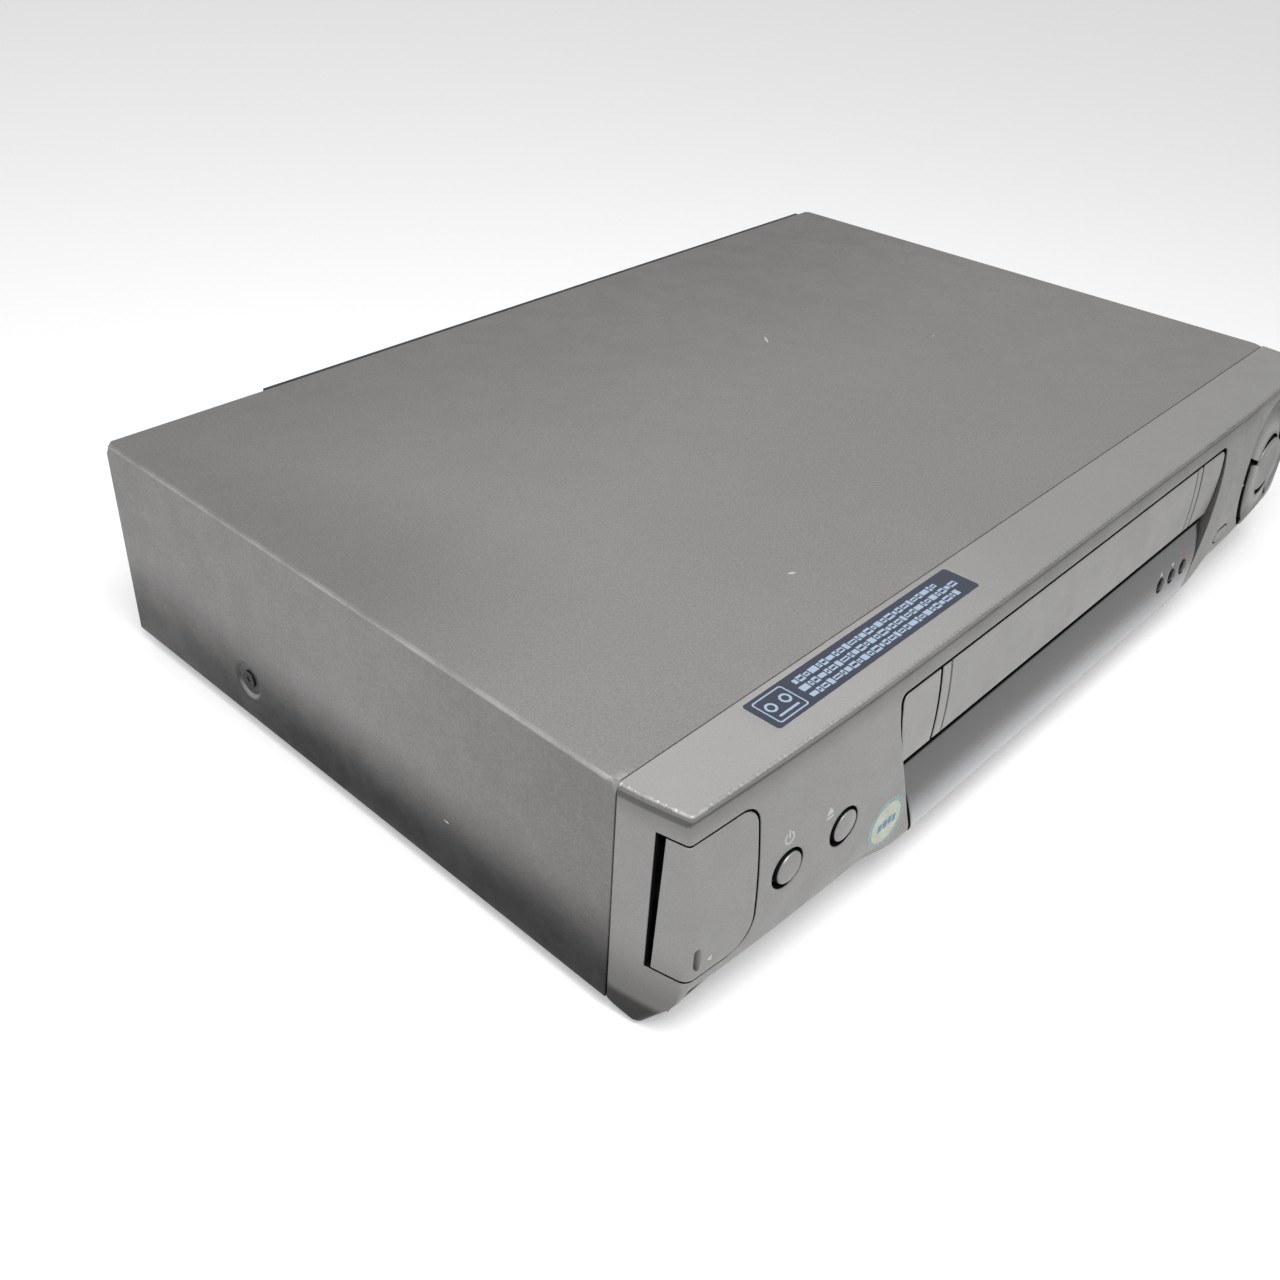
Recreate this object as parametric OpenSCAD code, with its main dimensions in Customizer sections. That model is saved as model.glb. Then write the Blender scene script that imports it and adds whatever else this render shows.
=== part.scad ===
/* [Cabinet] */
// Width of the steel cover
case_w = 430; // [420:1:440]
// Depth of the steel cover behind the front panel
case_d = 258; // [250:1:275]
// Height of the steel cover's side
case_h = 82; // [80:1:90]
// Thickness of the cover sheet
sheet = 1; // [0.8:0.1:1.2]
// Height of a foot
foot_h = 5; // [4:0.5:8]
// Radius of a foot
foot_r = 14; // [10:1:18]

/* [Front panel] */
// How far the panel lies inside the cover where they meet
seam_in = 1.7; // [1:0.1:3]
// How far the panel draws in from the seam to its front corners
corner_draw = 3.3; // [2:0.1:5]
// Half width of the flat middle, outside which the face falls back
flat_half = 115; // [110:1:125]
// Distance of the face's upper edge in front of the seam
nose = 24; // [23:0.5:25]
// How far the face falls back at its ends
nose_drop = 2.7; // [1:0.1:4]
// How far the face bulges in front of its upper edge
bulge = 5.3; // [4:0.1:6]
// How much of the bulge is lost at the ends
bulge_loss = 1.3; // [0:0.1:2]
// Depth below the top where the face is furthest forward
belly = 53; // [50:1:56]
// Height of the panel's face
panel_h = 77.5; // [76:0.5:79]
// Thickness of the moulded wall
wall = 2.4; // [2:0.1:2.6]
// How far the thin lip stands in front of the face
lip = 0.9; // [0.5:0.1:1.2]

/* [Cassette recess] */
// Half width of the recess at its top
recess_half = 119.3; // [118:0.1:121]
// Depth of the recess's top edge below the cover
recess_top = 9.4; // [9:0.1:10]
// Depth of the door's lower edge below the cover
door_bottom = 37.5; // [37:0.1:38]
// Depth of the window's upper edge below the cover
window_top = 40.5; // [40:0.1:41]
// Half width of the cassette door
door_half = 96; // [95.5:0.1:96.5]
// Thickness of the door
door_t = 2; // [1.6:0.1:2.2]
// Thickness of the display window
window_t = 2.2; // [1.8:0.1:2.6]

/* [Jack flap] */
// Width of the flap on the face
flap_w = 25.5; // [24:0.1:27]
// Depth of the flap's upper edge below the cover
flap_top = 10.8; // [10:0.1:12]
// Depth of the flap's lower edge below the cover
flap_bottom = 60; // [58:0.5:61]
// Distance of the flap's rear edge in front of the seam
flap_rear = 14.2; // [14:0.1:15]
// Thickness of the flap
flap_t = 2.2; // [1.8:0.1:2.4]
// Running gap round the flap
flap_gap = 0.8; // [0.6:0.1:1]
// Radius of the flap's hinge pins
flap_pin_r = 1.2; // [1:0.1:1.3]

/* [Keys] */
// Travel of a key
key_travel = 1.2; // [0.8:0.1:1.4]
// Radius of the power and eject keys
round_key_r = 6.3; // [6:0.1:6.6]
// Radius of the holes of the power and eject keys
round_hole_r = 7.5; // [7.2:0.1:7.8]
// Radius of the small keys on the window
dot_key_r = 2.6; // [2.4:0.1:2.8]
// Radius of the small keys' holes
dot_hole_r = 3.3; // [3.2:0.1:3.5]
// Radius of the hole of the round transport cluster
cluster_r = 29.5; // [29:0.1:30]
// Radius of the middle key of the cluster
middle_r = 14.2; // [13:0.1:14.6]
// Distance of the cluster's middle from the front corner
cluster_in = 32; // [31:0.5:33]
// Depth of the cluster's middle below the cover
cluster_s = 37.5; // [37:0.1:38]

/* [Cassette] */
// Width of a cassette
tape_w = 187.4; // [187:0.1:188]
// Depth of a cassette
tape_d = 102.5; // [102:0.1:104]
// Height of a cassette
tape_h = 25; // [24.5:0.1:25.5]
// Room round a cassette in its basket
tape_room = 0.7; // [0.5:0.1:0.8]
// Travel of the basket into the machine
travel_in = 80; // [60:1:82]
// Travel of the basket down onto the reels
travel_down = 18; // [15:0.5:18.5]
// Distance between the two reel shafts
reel_gap = 93; // [92:0.5:94]

/* [Tape drive] */
// Radius of the head drum
drum_r = 31; // [30.5:0.1:31]
// Lean of the head drum
drum_lean = 5; // [4:0.5:6]
// Radius of the capstan
capstan_r = 2; // [1.8:0.1:2.5]
// Radius of the pinch roller
pinch_r = 6; // [5:0.1:6.2]
// Running clearance of a shaft in its bore
fit = 0.05; // [0.03:0.01:0.08]
// Swing of the pinch arm
pinch_swing = 30; // [20:1:32]
// Swing of the tension arm
tension_swing = 20; // [10:1:24]
// Swing of the idler arm to each side
idler_swing = 24; // [15:0.5:24]
// Travel of the tape guides along their tracks
guide_travel = 40; // [30:1:44]
// Swing of the cam gear
cam_swing = 150; // [90:5:180]

/* [Sockets] */
// Radius of a phono socket's barrel
phono_r = 4.15; // [4:0.05:4.2]
// Length of a phono socket's barrel
phono_len = 8; // [7:0.5:9]
// Radius of an aerial connector
aerial_r = 4.75; // [4.5:0.05:5]
// Distance between two phono sockets
phono_pitch = 15; // [14:0.5:16]

/* [Hidden] */

$fn = 48;
curve_fn = 96;
eps = 0.5;
top_z = foot_h + case_h;
gap = 0.2;
seam_gap = 0.4;

// The body stands on the floor with the middle of its outline over the origin.
phono_out = phono_len + 1;
rear_face = case_d + 3.2;
panel_half = case_w / 2 - seam_in;
corner_half = panel_half - corner_draw;

// What lies beside the recess keeps its share of the room there.
drawn_room = 90.7;
side_k = (corner_half - recess_half) / drawn_room;
ring_r = cluster_r * side_k;
mid_r = middle_r * side_k;
cluster_x = corner_half - cluster_in * side_k;
flap_right = corner_half - flap_w * side_k;
function beside(d) = recess_half + d * side_k;
rear_reach = rear_face + phono_out;
front_reach = nose + bulge + 0.1;
seam_y = (front_reach - rear_reach) / 2;

module at_seam() translate([0, seam_y, 0]) children();

// A block from its lowest corner to its highest.
module block(low, high) translate(low) cube(high - low);

// A round bar along Y, towards +Y.
module y_bar(x, y, z, r, length) translate([x, y, z]) rotate([-90, 0, 0]) cylinder(r = r, h = length);

// A round bar along X, towards +X.
module x_bar(x, y, z, r, length) translate([x, y, z]) rotate([0, 90, 0]) cylinder(r = r, h = length);

// A 2D outline drawn in X and Z, extruded from y0 to y1.
module along_y(y0, y1) translate([0, y1, 0]) rotate([90, 0, 0]) linear_extrude(y1 - y0) children();

// A 2D outline drawn in Y and Z, extruded from x0 to x1.
module along_x(x0, x1) translate([x0, 0, 0]) rotate([90, 0, 90]) linear_extrude(x1 - x0) children();

// Points on an arc round a centre.
function arc(c, r, a0, a1, n) = [for (i = [0:n]) c + r * [cos(a0 + (a1 - a0) * i / n),
        sin(a0 + (a1 - a0) * i / n)]];

// A rectangle with round corners, each with its own radius, from lower left anticlockwise.
function soft_rect(a, b, r) = concat(
    arc([a[0] + r[0], a[1] + r[0]], r[0], 180, 270, 5), arc([b[0] - r[1], a[1] + r[1]], r[1], 270, 360, 5),
    arc([b[0] - r[2], b[1] - r[2]], r[2], 0, 90, 5), arc([a[0] + r[3], b[1] - r[3]], r[3], 90, 180, 5));

// The face: how far y lies from the seam, at x and at depth s below the top.
function blend(a, b, t) = a + (b - a) * t;
function ease(t) = let (u = min(1, max(0, t))) u * u * (3 - 2 * u);
function fall(x) = pow(max(0, (abs(x) - flat_half) / (corner_half - flat_half)),
        2) + 0.04 * pow(x / flat_half, 2);
function swell(s) = s < belly ? 1 - pow((belly - s) / (belly - 3), 2) : 1;
tuck_x0 = 99;
tuck_x1 = 121;
tuck_bend = 0.64;
function outer_part(x) = ease((abs(x) - tuck_x0) / (tuck_x1 - tuck_x0));
function tuck_start(x) = blend(66, 55, outer_part(x));
function tuck_r(x) = blend(12, 22, outer_part(x));
function tuck(d, r) =
    let (bend = min(d, tuck_bend * r), slope = tuck_bend / sqrt(1 - pow(tuck_bend, 2)))
    d <= 0 ? 0 : r - sqrt(r * r - bend * bend) + (d - bend) * (slope + 0.004 * (d - bend));
function face_y(x, s) =
    -nose + nose_drop * fall(x) - (bulge - bulge_loss * fall(x)) * swell(s) + tuck(s - tuck_start(x),
            tuck_r(x));

// The lip's rounded section: depth below the top, and distance behind the lip's front.
lip_rows = [[0, 0.9], [0.3, 0.3], [0.9, 0], [2, 0], [2.5, 0.25], [2.8, 0.8]];
function lip_y(x, k) = -nose - lip + nose_drop * fall(x) + lip_rows[k][1];

face_rows = [3, 9.4, 15, 21, 27, 33, 40, 47, 54, 58, 61, 64, 67, 70, 74, panel_h];
half_stations = concat([60, 99, 105, 111, 116, 122], [for (d = [11.7, 22.7, 35.7, 48.7, 60.7, 71.7,
        82.7]) beside(d)], [corner_half + 4]);
function both_sides(half) = concat([for (i = [len(half) - 1:-1:0]) -half[i]], half);
stations = both_sides(half_stations);
inner_stations = both_sides([60, 99, 105, 111, 116, 122, beside(22.7), beside(48.7), beside(71.7),
        corner_half - 3.5]);

// A solid with the face in front, flat behind. The lip is drawn where with_lip is set.
module face_block(xs, ss, inset, back, with_lip = false) {
    rows = with_lip ? len(lip_rows) : 0;
    ni = len(xs);
    nj = len(ss) + rows;
    depth = [for (j = [0:nj - 1]) j < rows ? lip_rows[j][0] : ss[j - rows]];
    front = [for (i = [0:ni - 1]) for (j = [0:nj - 1])
        [xs[i], min(back - 0.3, inset + (j < rows ? lip_y(xs[i], j) : face_y(xs[i], depth[j]))),
                top_z - depth[j]]];
    rear = [for (i = [0:ni - 1]) for (j = [0:nj - 1]) [xs[i], back, top_z - depth[j]]];
    b = ni * nj;
    c = b - nj;
    h = nj - 1;
    polyhedron(concat(front, rear), concat(
        [for (i = [0:ni - 2]) for (j = [0:nj - 2]) [i * nj + j, i * nj + nj + j, i * nj + nj + j + 1]],
        [for (i = [0:ni - 2]) for (j = [0:nj - 2]) [i * nj + j, i * nj + nj + j + 1, i * nj + j + 1]],
        [for (i = [0:ni - 2]) for (j = [0:nj - 2])
            [b + i * nj + j, b + i * nj + j + 1, b + i * nj + nj + j + 1, b + i * nj + nj + j]],
        [for (i = [0:ni - 2]) [b + i * nj, b + i * nj + nj, i * nj + nj, i * nj]],
        [for (i = [0:ni - 2]) [i * nj + h, i * nj + nj + h, b + i * nj + nj + h, b + i * nj + h]],
        [for (j = [0:nj - 2]) [b + j, j, j + 1, b + j + 1]],
        [for (j = [0:nj - 2]) [b + c + j, b + c + j + 1, c + j + 1, c + j]]));
}

// The panel's outline seen from above: its sides draw in towards the front corners.
function side_x(y) = panel_half - (panel_half - corner_half) * pow(min(1, max(0, -y) / nose), 1.5);
side_steps = [0, -5, -10, -15, -20, -24, -40];
module plan_outline() polygon(concat(
    [for (y = side_steps) [-side_x(y), y]],
    [for (i = [len(side_steps) - 1:-1:0]) [side_x(side_steps[i]), side_steps[i]]]));

// The cassette recess: its sides lean in towards the bottom.
function recess_x(s) = recess_half - 0.0756 * pow(max(0, s - 18), 1.35);
recess_steps = [9.4, 18, 24, 30, 36, 42, 48, 54, 60, 66, 72, 80];
recess_corner = 3;
module recess_outline(grow, s0, s1, corner = recess_corner) {
    ss = concat([s0], [for (s = recess_steps) if (s > s0 + corner + 0.5 && s < s1 - 0.5) s], [s1]);
    right = [for (i = [1:len(ss) - 1]) [recess_x(ss[i]) + grow, top_z - ss[i]]];
    tip = arc([recess_x(s0) + grow - corner, top_z - s0 - corner], corner, 90, 0, 4);
    half = concat(tip, right);
    polygon(concat([for (i = [len(half) - 1:-1:0]) [-half[i][0], half[i][1]]], half));
}

// The door, the trims and the window have their own flatter faces.
function door_y(s) = -26.1 + pow(s - 30, 2) / 220;
window_belly = 64;
window_r = 74;
window_tuck = 68;
function window_y(s) = -29.4 + pow(min(s, window_tuck) - window_belly,
        2) / (2 * window_r) + tuck(s - window_tuck, 11);
function steps(a, b, n) = [for (i = [0:n]) a + (b - a) * i / n];
module strip(ss, t, window = false) {
    front = [for (s = ss) [window ? window_y(s) : door_y(s), top_z - s]];
    polygon(concat(front, [for (i = [len(front) - 1:-1:0]) front[i] + [t, 0]]));
}

// Cabinet

fold_r = 1.2;
module cover_outline(inset) {
    r = max(0.2, fold_r - inset);
    x = case_w / 2 - inset;
    polygon(concat([[-x, foot_h]], arc([-x + r, top_z - inset - r], r, 180, 90, 4),
        arc([x - r, top_z - inset - r], r, 90, 0, 4), [[x, foot_h]]));
}

// Side screws hold the cover to the chassis, each in a stamped dish.
side_screw_y = 179;
side_screw_z = top_z - 65;
dish_r = 8;
dish_bottom_r = 5;
dish_depth = 1.6;
screw_r = 1.5;
screw_head_r = 3.4;
screw_head_t = 1.4;
rear_screw_x = 150;
rear_screw_z = top_z - 6;

module at_side_screws() for (side = [-1, 1]) mirror([side > 0 ? 1 : 0, 0, 0])
    translate([-case_w / 2, side_screw_y, side_screw_z]) rotate([0, 90, 0]) children();

rear_flange = 9;
module top_cover() color([0.55, 0.54, 0.52]) at_seam() difference() {
    union() {
        along_y(seam_gap, case_d) difference() {
            cover_outline(0);
            cover_outline(sheet);
            translate([-case_w, foot_h - eps]) square([2 * case_w, eps]);
        }
        at_side_screws() cylinder(r1 = dish_r + sheet, r2 = dish_bottom_r + sheet, h = dish_depth + sheet);
        block([-case_w / 2 + 2, case_d - sheet, top_z - rear_flange], [case_w / 2 - 2, case_d,
                top_z - sheet / 2]);
    }
    at_side_screws() translate([0, 0, -eps]) cylinder(r = dish_r, h = eps);
    at_side_screws() cylinder(r1 = dish_r, r2 = dish_bottom_r, h = dish_depth);
    at_side_screws() cylinder(r = screw_r + 0.3, h = 10);
    for (x = [-rear_screw_x, 0, rear_screw_x]) y_bar(x, case_d - 3, rear_screw_z, screw_r + 0.3, 6);
}

module screw() {
    difference() {
        cylinder(r1 = screw_head_r, r2 = screw_head_r, h = screw_head_t);
        for (a = [0, 90]) rotate(a) translate([-2, -0.4, -0.01]) cube([4, 0.8, 0.8]);
    }
    translate([0, 0, screw_head_t]) cylinder(r = screw_r, h = 6);
}

module cover_screws() color([0.12, 0.12, 0.13]) at_seam() {
    at_side_screws() translate([0, 0, dish_depth - screw_head_t]) screw();
    for (x = [-rear_screw_x, 0, rear_screw_x])
        translate([x, case_d + screw_head_t, rear_screw_z]) rotate([90, 0, 0]) screw();
}

// The tray: a pressed steel floor with turned-up sides and stand-offs.
tray_x = case_w / 2 - sheet - gap;
tray_front = -16;
tray_rear = case_d - 6;
tray_side = 26;
deck_z = 18;
board_z = 12;
boss_r = 4;
deck_posts = [[-96, 6], [96, 6], [-96, 205], [96, 205]];
board_edge = case_w / 2 - 7;
board_in = 110;
board_rear = case_d - 12;
left_board = [[-board_edge, 112], [-board_in, board_rear]];
right_board = [[board_in, 8], [board_edge, board_rear]];
drawn_board = [98, 238];
function board_x(x) = board_in + (x - board_in) * (board_edge - board_in) / drawn_board[0];
function board_y(y) = 8 + (y - 8) * (board_rear - 8) / drawn_board[1];
board_posts = [for (b = [left_board, right_board]) for (x = [b[0][0] + 7, b[1][0] - 7])
    for (y = [b[0][1] + 7, b[1][1] - 7]) [x, y]];
foot_x = case_w / 2 - 50;
foot_y = case_d - 26;
feet_at = [[-foot_x, 12], [foot_x, 12], [-foot_x, foot_y], [foot_x, foot_y]];
foot_screw_r = 2;
vent_x = 25 - case_w / 2;

screw_tab_x = case_w / 2 - sheet - dish_depth - 0.3;
module base_chassis() color([0.16, 0.16, 0.17]) at_seam() difference() {
    union() {
        block([-tray_x, 1, foot_h], [tray_x, tray_rear, foot_h + sheet]);
        block([-corner_half + 4, tray_front, foot_h], [corner_half - 4, 1.01, foot_h + sheet]);
        block([-corner_half + 4, tray_front, foot_h], [corner_half - 4, tray_front + sheet, foot_h + 3.8]);
        for (side = [-1, 1]) block([side < 0 ? -tray_x : tray_x - sheet, 1, foot_h],
            [side < 0 ? -tray_x + sheet : tray_x, tray_rear, foot_h + tray_side]);
        for (side = [-1, 1]) block([side < 0 ? -screw_tab_x : screw_tab_x - 1.6, side_screw_y - 9, foot_h],
            [side < 0 ? 1.6 - screw_tab_x : screw_tab_x, side_screw_y + 9, foot_h + tray_side]);
        for (p = deck_posts) translate([p[0], p[1], foot_h]) cylinder(r = boss_r, h = deck_z - foot_h);
        for (p = board_posts) translate([p[0], p[1], foot_h]) cylinder(r = boss_r, h = board_z - foot_h);
    }
    at_side_screws() translate([0, 0, -1]) cylinder(r = dish_bottom_r + sheet + 1.4,
            h = case_w / 2 - screw_tab_x + 1);
    at_side_screws() cylinder(r = screw_r + 0.08, h = 12);
    for (p = feet_at) translate([p[0], p[1], foot_h - eps]) cylinder(r = foot_screw_r, h = 5);
    for (i = [0:9]) for (y = [40, 62]) block([-70 + 14 * i, y, foot_h - eps], [-66 + 14 * i, y + 16,
            foot_h + 2]);
    for (i = [0:7]) block([vent_x + 10 * i, 150, foot_h - eps], [vent_x + 4 + 10 * i, 200, foot_h + 2]);
}

module feet() color([0.08, 0.08, 0.08]) at_seam() for (p = feet_at) translate([p[0], p[1], 0]) difference() {
    union() {
        rotate_extrude() polygon([[0, 0], [foot_r - 1, 0], [foot_r, 1], [foot_r - 0.8, foot_h], [0, foot_h]]);
        translate([0, 0, foot_h - 0.01]) cylinder(r = foot_screw_r - fit, h = sheet);
    }
    translate([0, 0, -0.01]) cylinder(r = 4, h = 1.5);
}

// The rear panel: a black plate with a raised block for the connectors.
plate_y = case_d - 5;
raised = [70 - case_w / 2, case_w / 2 - 7];
av_x = 128;
av_rows = [24, 44];
aerial_x = case_w / 2 - 39;
aerial_collar = 0.45;
aerial_rows = [30, 56];
inlet_x = 37 - case_w / 2;
inlet_z = 26;
inlet_w = 15.8;
inlet_h = 8.2;
module stadium(w, h) {
    square([w - h, h], center = true);
    for (side = [-1, 1]) translate([side * (w - h) / 2, 0]) circle(r = h / 2);
}
module rear_panel() color([0.07, 0.07, 0.075]) at_seam() difference() {
    union() {
        block([-tray_x + 1.2, plate_y, foot_h + sheet], [tray_x - 1.2, plate_y + 2.4, top_z - sheet - 0.3]);
        block([raised[0], plate_y + 2.39, foot_h + 6], [raised[1], rear_face, top_z - rear_flange - 0.4]);
        block([raised[0], case_d + 0.05, foot_h + 6], [raised[1], rear_face, top_z - 0.8]);
    }
    for (x = [0:phono_pitch:2 * phono_pitch]) for (z = av_rows)
        y_bar(av_x - phono_pitch + x, plate_y - 1, z, phono_r + 1, 20);
    for (z = aerial_rows) y_bar(aerial_x, plate_y - 1, z, aerial_r + 0.6, 20);
    translate([inlet_x, 0, inlet_z]) along_y(plate_y - 1, plate_y + 4) stadium(inlet_w + 6.4, inlet_h + 6.4);
    for (x = [-rear_screw_x, 0, rear_screw_x]) {
        y_bar(x, plate_y - 1, rear_screw_z, screw_r + 0.08, 12);
        y_bar(x, case_d - 0.2, rear_screw_z, screw_head_r + 0.5, 12);
    }
    for (i = [0:11]) block([-120 + 12 * i, plate_y - 1, 20], [-117 + 12 * i, rear_face + 1, 60]);
}

// Front panel

power_at = [-beside(52), 41];
eject_at = [-beside(26.2), 41.3];
dot_keys_x = [76, 86.5, 97];
dot_s = 55.5;
pill_at = [beside(15.7), 55];
pill_w = 13;
pill_h = 5.5;
hinge_x = 1.2 - corner_half;
hinge_y = -15.5;

module flap_outline(grow) polygon(soft_rect([-corner_half - 12, top_z - flap_bottom - grow],
    [-flap_right + grow, top_z - flap_top + grow], [0.2, 10 + grow, 6 + grow, 0.2]));

module flap_side(grow, low_y, high_y) polygon([[-60, top_z - flap_bottom - grow], [low_y,
        top_z - flap_bottom - grow],
    [high_y, top_z - flap_top + grow], [-60, top_z - flap_top + grow]]);

ring_back = -19;
ring_rows = [7, 14, 21, 28, 36, 45, 54, 60, 64, 68, 72, 75, panel_h - 0.1];
module front_panel() color([0.6, 0.59, 0.57]) at_seam() difference() {
    intersection() {
        translate([0, 0, -1]) linear_extrude(top_z + 2) plan_outline();
        union() {
            difference() {
                face_block(stations, face_rows, 0, 0, true);
                face_block(inner_stations, [wall, 12, 27, 40, 54, 61, 67, panel_h - wall], wall, 1);
            }
            intersection() {
                along_x(-130, 130) polygon(concat([for (s = ring_rows) [face_y(recess_x(s) + 1, s) + 1,
                        top_z - s]],
                    [[ring_back, top_z - ring_rows[len(ring_rows) - 1]], [ring_back, top_z - ring_rows[0]]]));
                along_y(-40, ring_back) difference() {
                    recess_outline(1.8, recess_top - 1.8, panel_h - 0.1);
                    recess_outline(0, recess_top, panel_h + 2);
                }
            }
        }
    }
    along_y(-40, -13) recess_outline(0, recess_top, panel_h + 2);
    intersection() {
        along_y(-60, 0) flap_outline(flap_gap);
        along_x(-230, -100) flap_side(flap_gap, 2.8 - flap_rear, 2.2 - flap_rear);
    }
    for (z = [top_z - flap_bottom - 4, top_z - flap_top - 1]) translate([hinge_x, hinge_y, z])
        cylinder(r = flap_pin_r + fit, h = 5);
    for (p = [power_at, eject_at]) y_bar(p[0], -40, top_z - p[1], round_hole_r, 30);
    translate([pill_at[0], 0, top_z - pill_at[1]]) along_y(-40, -10) stadium(pill_w + 0.8, pill_h + 0.8);
    y_bar(cluster_x, -40, top_z - cluster_s, ring_r, 30);
}

// Trims beside the door, with the sockets of its pins.
door_pin_y = -21.5;
door_pin_s = 11.7;
door_pin_r = 1.2;
slit = 0.5;
trim_gap = 0.15;
module trim() difference() {
    union() {
        intersection() {
            along_x(door_half + slit, 125) strip(steps(recess_top + trim_gap, door_bottom, 8), 2);
            along_y(-40, -13) recess_outline(-trim_gap, recess_top + trim_gap, 60);
        }
        intersection() {
            along_y(-24, -14) recess_outline(-trim_gap, recess_top + trim_gap, 60);
            block([door_half + slit, -24, top_z - 18], [door_half + slit + 5, -18.5,
                    top_z - recess_top - trim_gap]);
        }
        block([door_half + slit, -24, top_z - 36], [door_half + slit + 2, -14, top_z - 17]);
    }
    x_bar(door_half, door_pin_y, top_z - door_pin_s, door_pin_r + fit, 8);
    block([door_half + 5.9, -23.9, top_z - 15], [door_half + 10.6, -12, top_z - recess_top]);
}
module left_trim() color([0.62, 0.61, 0.6]) at_seam() mirror([1, 0, 0]) trim();
module right_trim() color([0.62, 0.61, 0.6]) at_seam() trim();

module cassette_door() color([0.62, 0.61, 0.6]) at_seam() difference() {
    union() {
        along_x(-door_half, door_half) strip(steps(recess_top + 0.5, door_bottom, 9), door_t);
        x_bar(-door_half, door_pin_y, top_z - door_pin_s, 1.9, 2 * door_half);
        x_bar(-door_half - 9.5, door_pin_y, top_z - door_pin_s, door_pin_r, 9.6);
        x_bar(door_half - 0.1, door_pin_y, top_z - door_pin_s, door_pin_r, 3.6);
        for (x = [-60, 0, 60]) block([x - 0.8, -25, top_z - door_bottom + 4], [x + 0.8, -22.6, top_z - 14]);
    }
    for (x = [-door_half + 5, door_half - 5])
        translate([0, -0.3, 0]) along_x(x - 0.4, x + 0.4) strip(steps(recess_top + 2.5,
                door_bottom - 1.6, 8), 0.8);
}

// A torsion spring round the end of the door's left pin, in a pocket of the trim.
spring_r = 1.55;
wire = 0.5;
module door_spring() color([0.75, 0.75, 0.78]) at_seam()
    translate([-door_half - 9.6, door_pin_y, top_z - door_pin_s]) rotate([0, 90, 0]) {
        for (i = [0:3]) translate([0, 0, 0.8 * i]) difference() {
            cylinder(r = spring_r + wire, h = wire);
            translate([0, 0, -1]) cylinder(r = spring_r, h = 3);
        }
        block([spring_r + 0.02, -wire / 2, 0.01], [spring_r + wire, wire / 2, 2.8]);
        block([0, spring_r + 0.02, 0], [6.5, spring_r + wire, wire]);
        block([-1.9, spring_r + 0.02, 2.4], [0, spring_r + wire, 2.4 + wire]);
    }

module display_window() color([0.42, 0.43, 0.45]) at_seam() difference() {
    intersection() {
        along_x(-125, 125) strip(concat(steps(window_top, window_tuck, 10), steps(69, panel_h - 0.2,
                6)), window_t, true);
        along_y(-40, -13) recess_outline(-1.3, window_top, panel_h, 1);
    }
    for (x = dot_keys_x) y_bar(x, -40, top_z - dot_s, dot_hole_r, 20);
}

// The frame behind the panel carries the display, guides the keys and meets the board.
frame_y = -17.6;
frame_t = 1.6;
board_y = -11.6;
board_t = 1.6;
low_top = 42;
high_top = top_z - 8;
front_low = 19;
front_left = 3.5 - flap_right;
front_right = corner_half - 4;
function frame_points(inset) = [[front_left + inset, front_low], [front_right - inset, front_low],
        [front_right - inset, high_top],
    [126, high_top], [126, low_top], [-126, low_top], [-126, 60], [front_left + inset, 60]];
tube_x = [-58, 52];
tube_z = [17, 38];
module stem_holes(y, length, extra) {
    for (p = [power_at, eject_at, pill_at]) y_bar(p[0], y, top_z - p[1], stem_r + extra, length);
    for (x = dot_keys_x) y_bar(x, y, top_z - dot_s, dot_stem_r + extra, length);
    for (a = sector_mid) y_bar(cluster_x + stem_at * cos(a), y, top_z - cluster_s + stem_at * sin(a),
            stem_r + extra, length);
    y_bar(cluster_x, y, top_z - cluster_s, stem_r + extra, length);
}
stem_r = 2.4;
dot_stem_r = 1.6;
stem_at = 22 * side_k;
stem_gap = 0.3;
module front_frame() color([0.06, 0.06, 0.065]) at_seam() difference() {
    union() {
        along_y(frame_y, frame_y + frame_t) polygon(frame_points(0));
        for (p = [[front_left + 6, 25], [-100, 25], [100, 25], [front_right - 6, 25], [front_right - 6,
                72], [134, 72], [-134, 55], [front_left + 6, 55]])
            y_bar(p[0], frame_y + 0.5, p[1], 3, board_y - frame_y - 0.5);
        difference() {
            block([tube_x[0] - 2, frame_y - 3, tube_z[0] - 2], [tube_x[1] + 2, frame_y + 0.5, tube_z[1] + 2]);
            block([tube_x[0], frame_y - 4, tube_z[0]], [tube_x[1], frame_y + 1, tube_z[1]]);
        }
    }
    block([tube_x[0], frame_y - 4, tube_z[0]], [tube_x[1], frame_y + 6, tube_z[1]]);
    stem_holes(frame_y - 1, 5, stem_gap);
}

module display_tube() color([0.1, 0.16, 0.15]) at_seam() {
    block([tube_x[0] + gap, frame_y - 2.6, tube_z[0] + gap], [tube_x[1] - gap, frame_y + 3, tube_z[1] - gap]);
    for (i = [0:20]) block([tube_x[0] + 5 + 5 * i, frame_y + 2.9, tube_z[0] + 1],
            [tube_x[0] + 5.5 + 5 * i, board_y, tube_z[0] + 1.5]);
}

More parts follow.
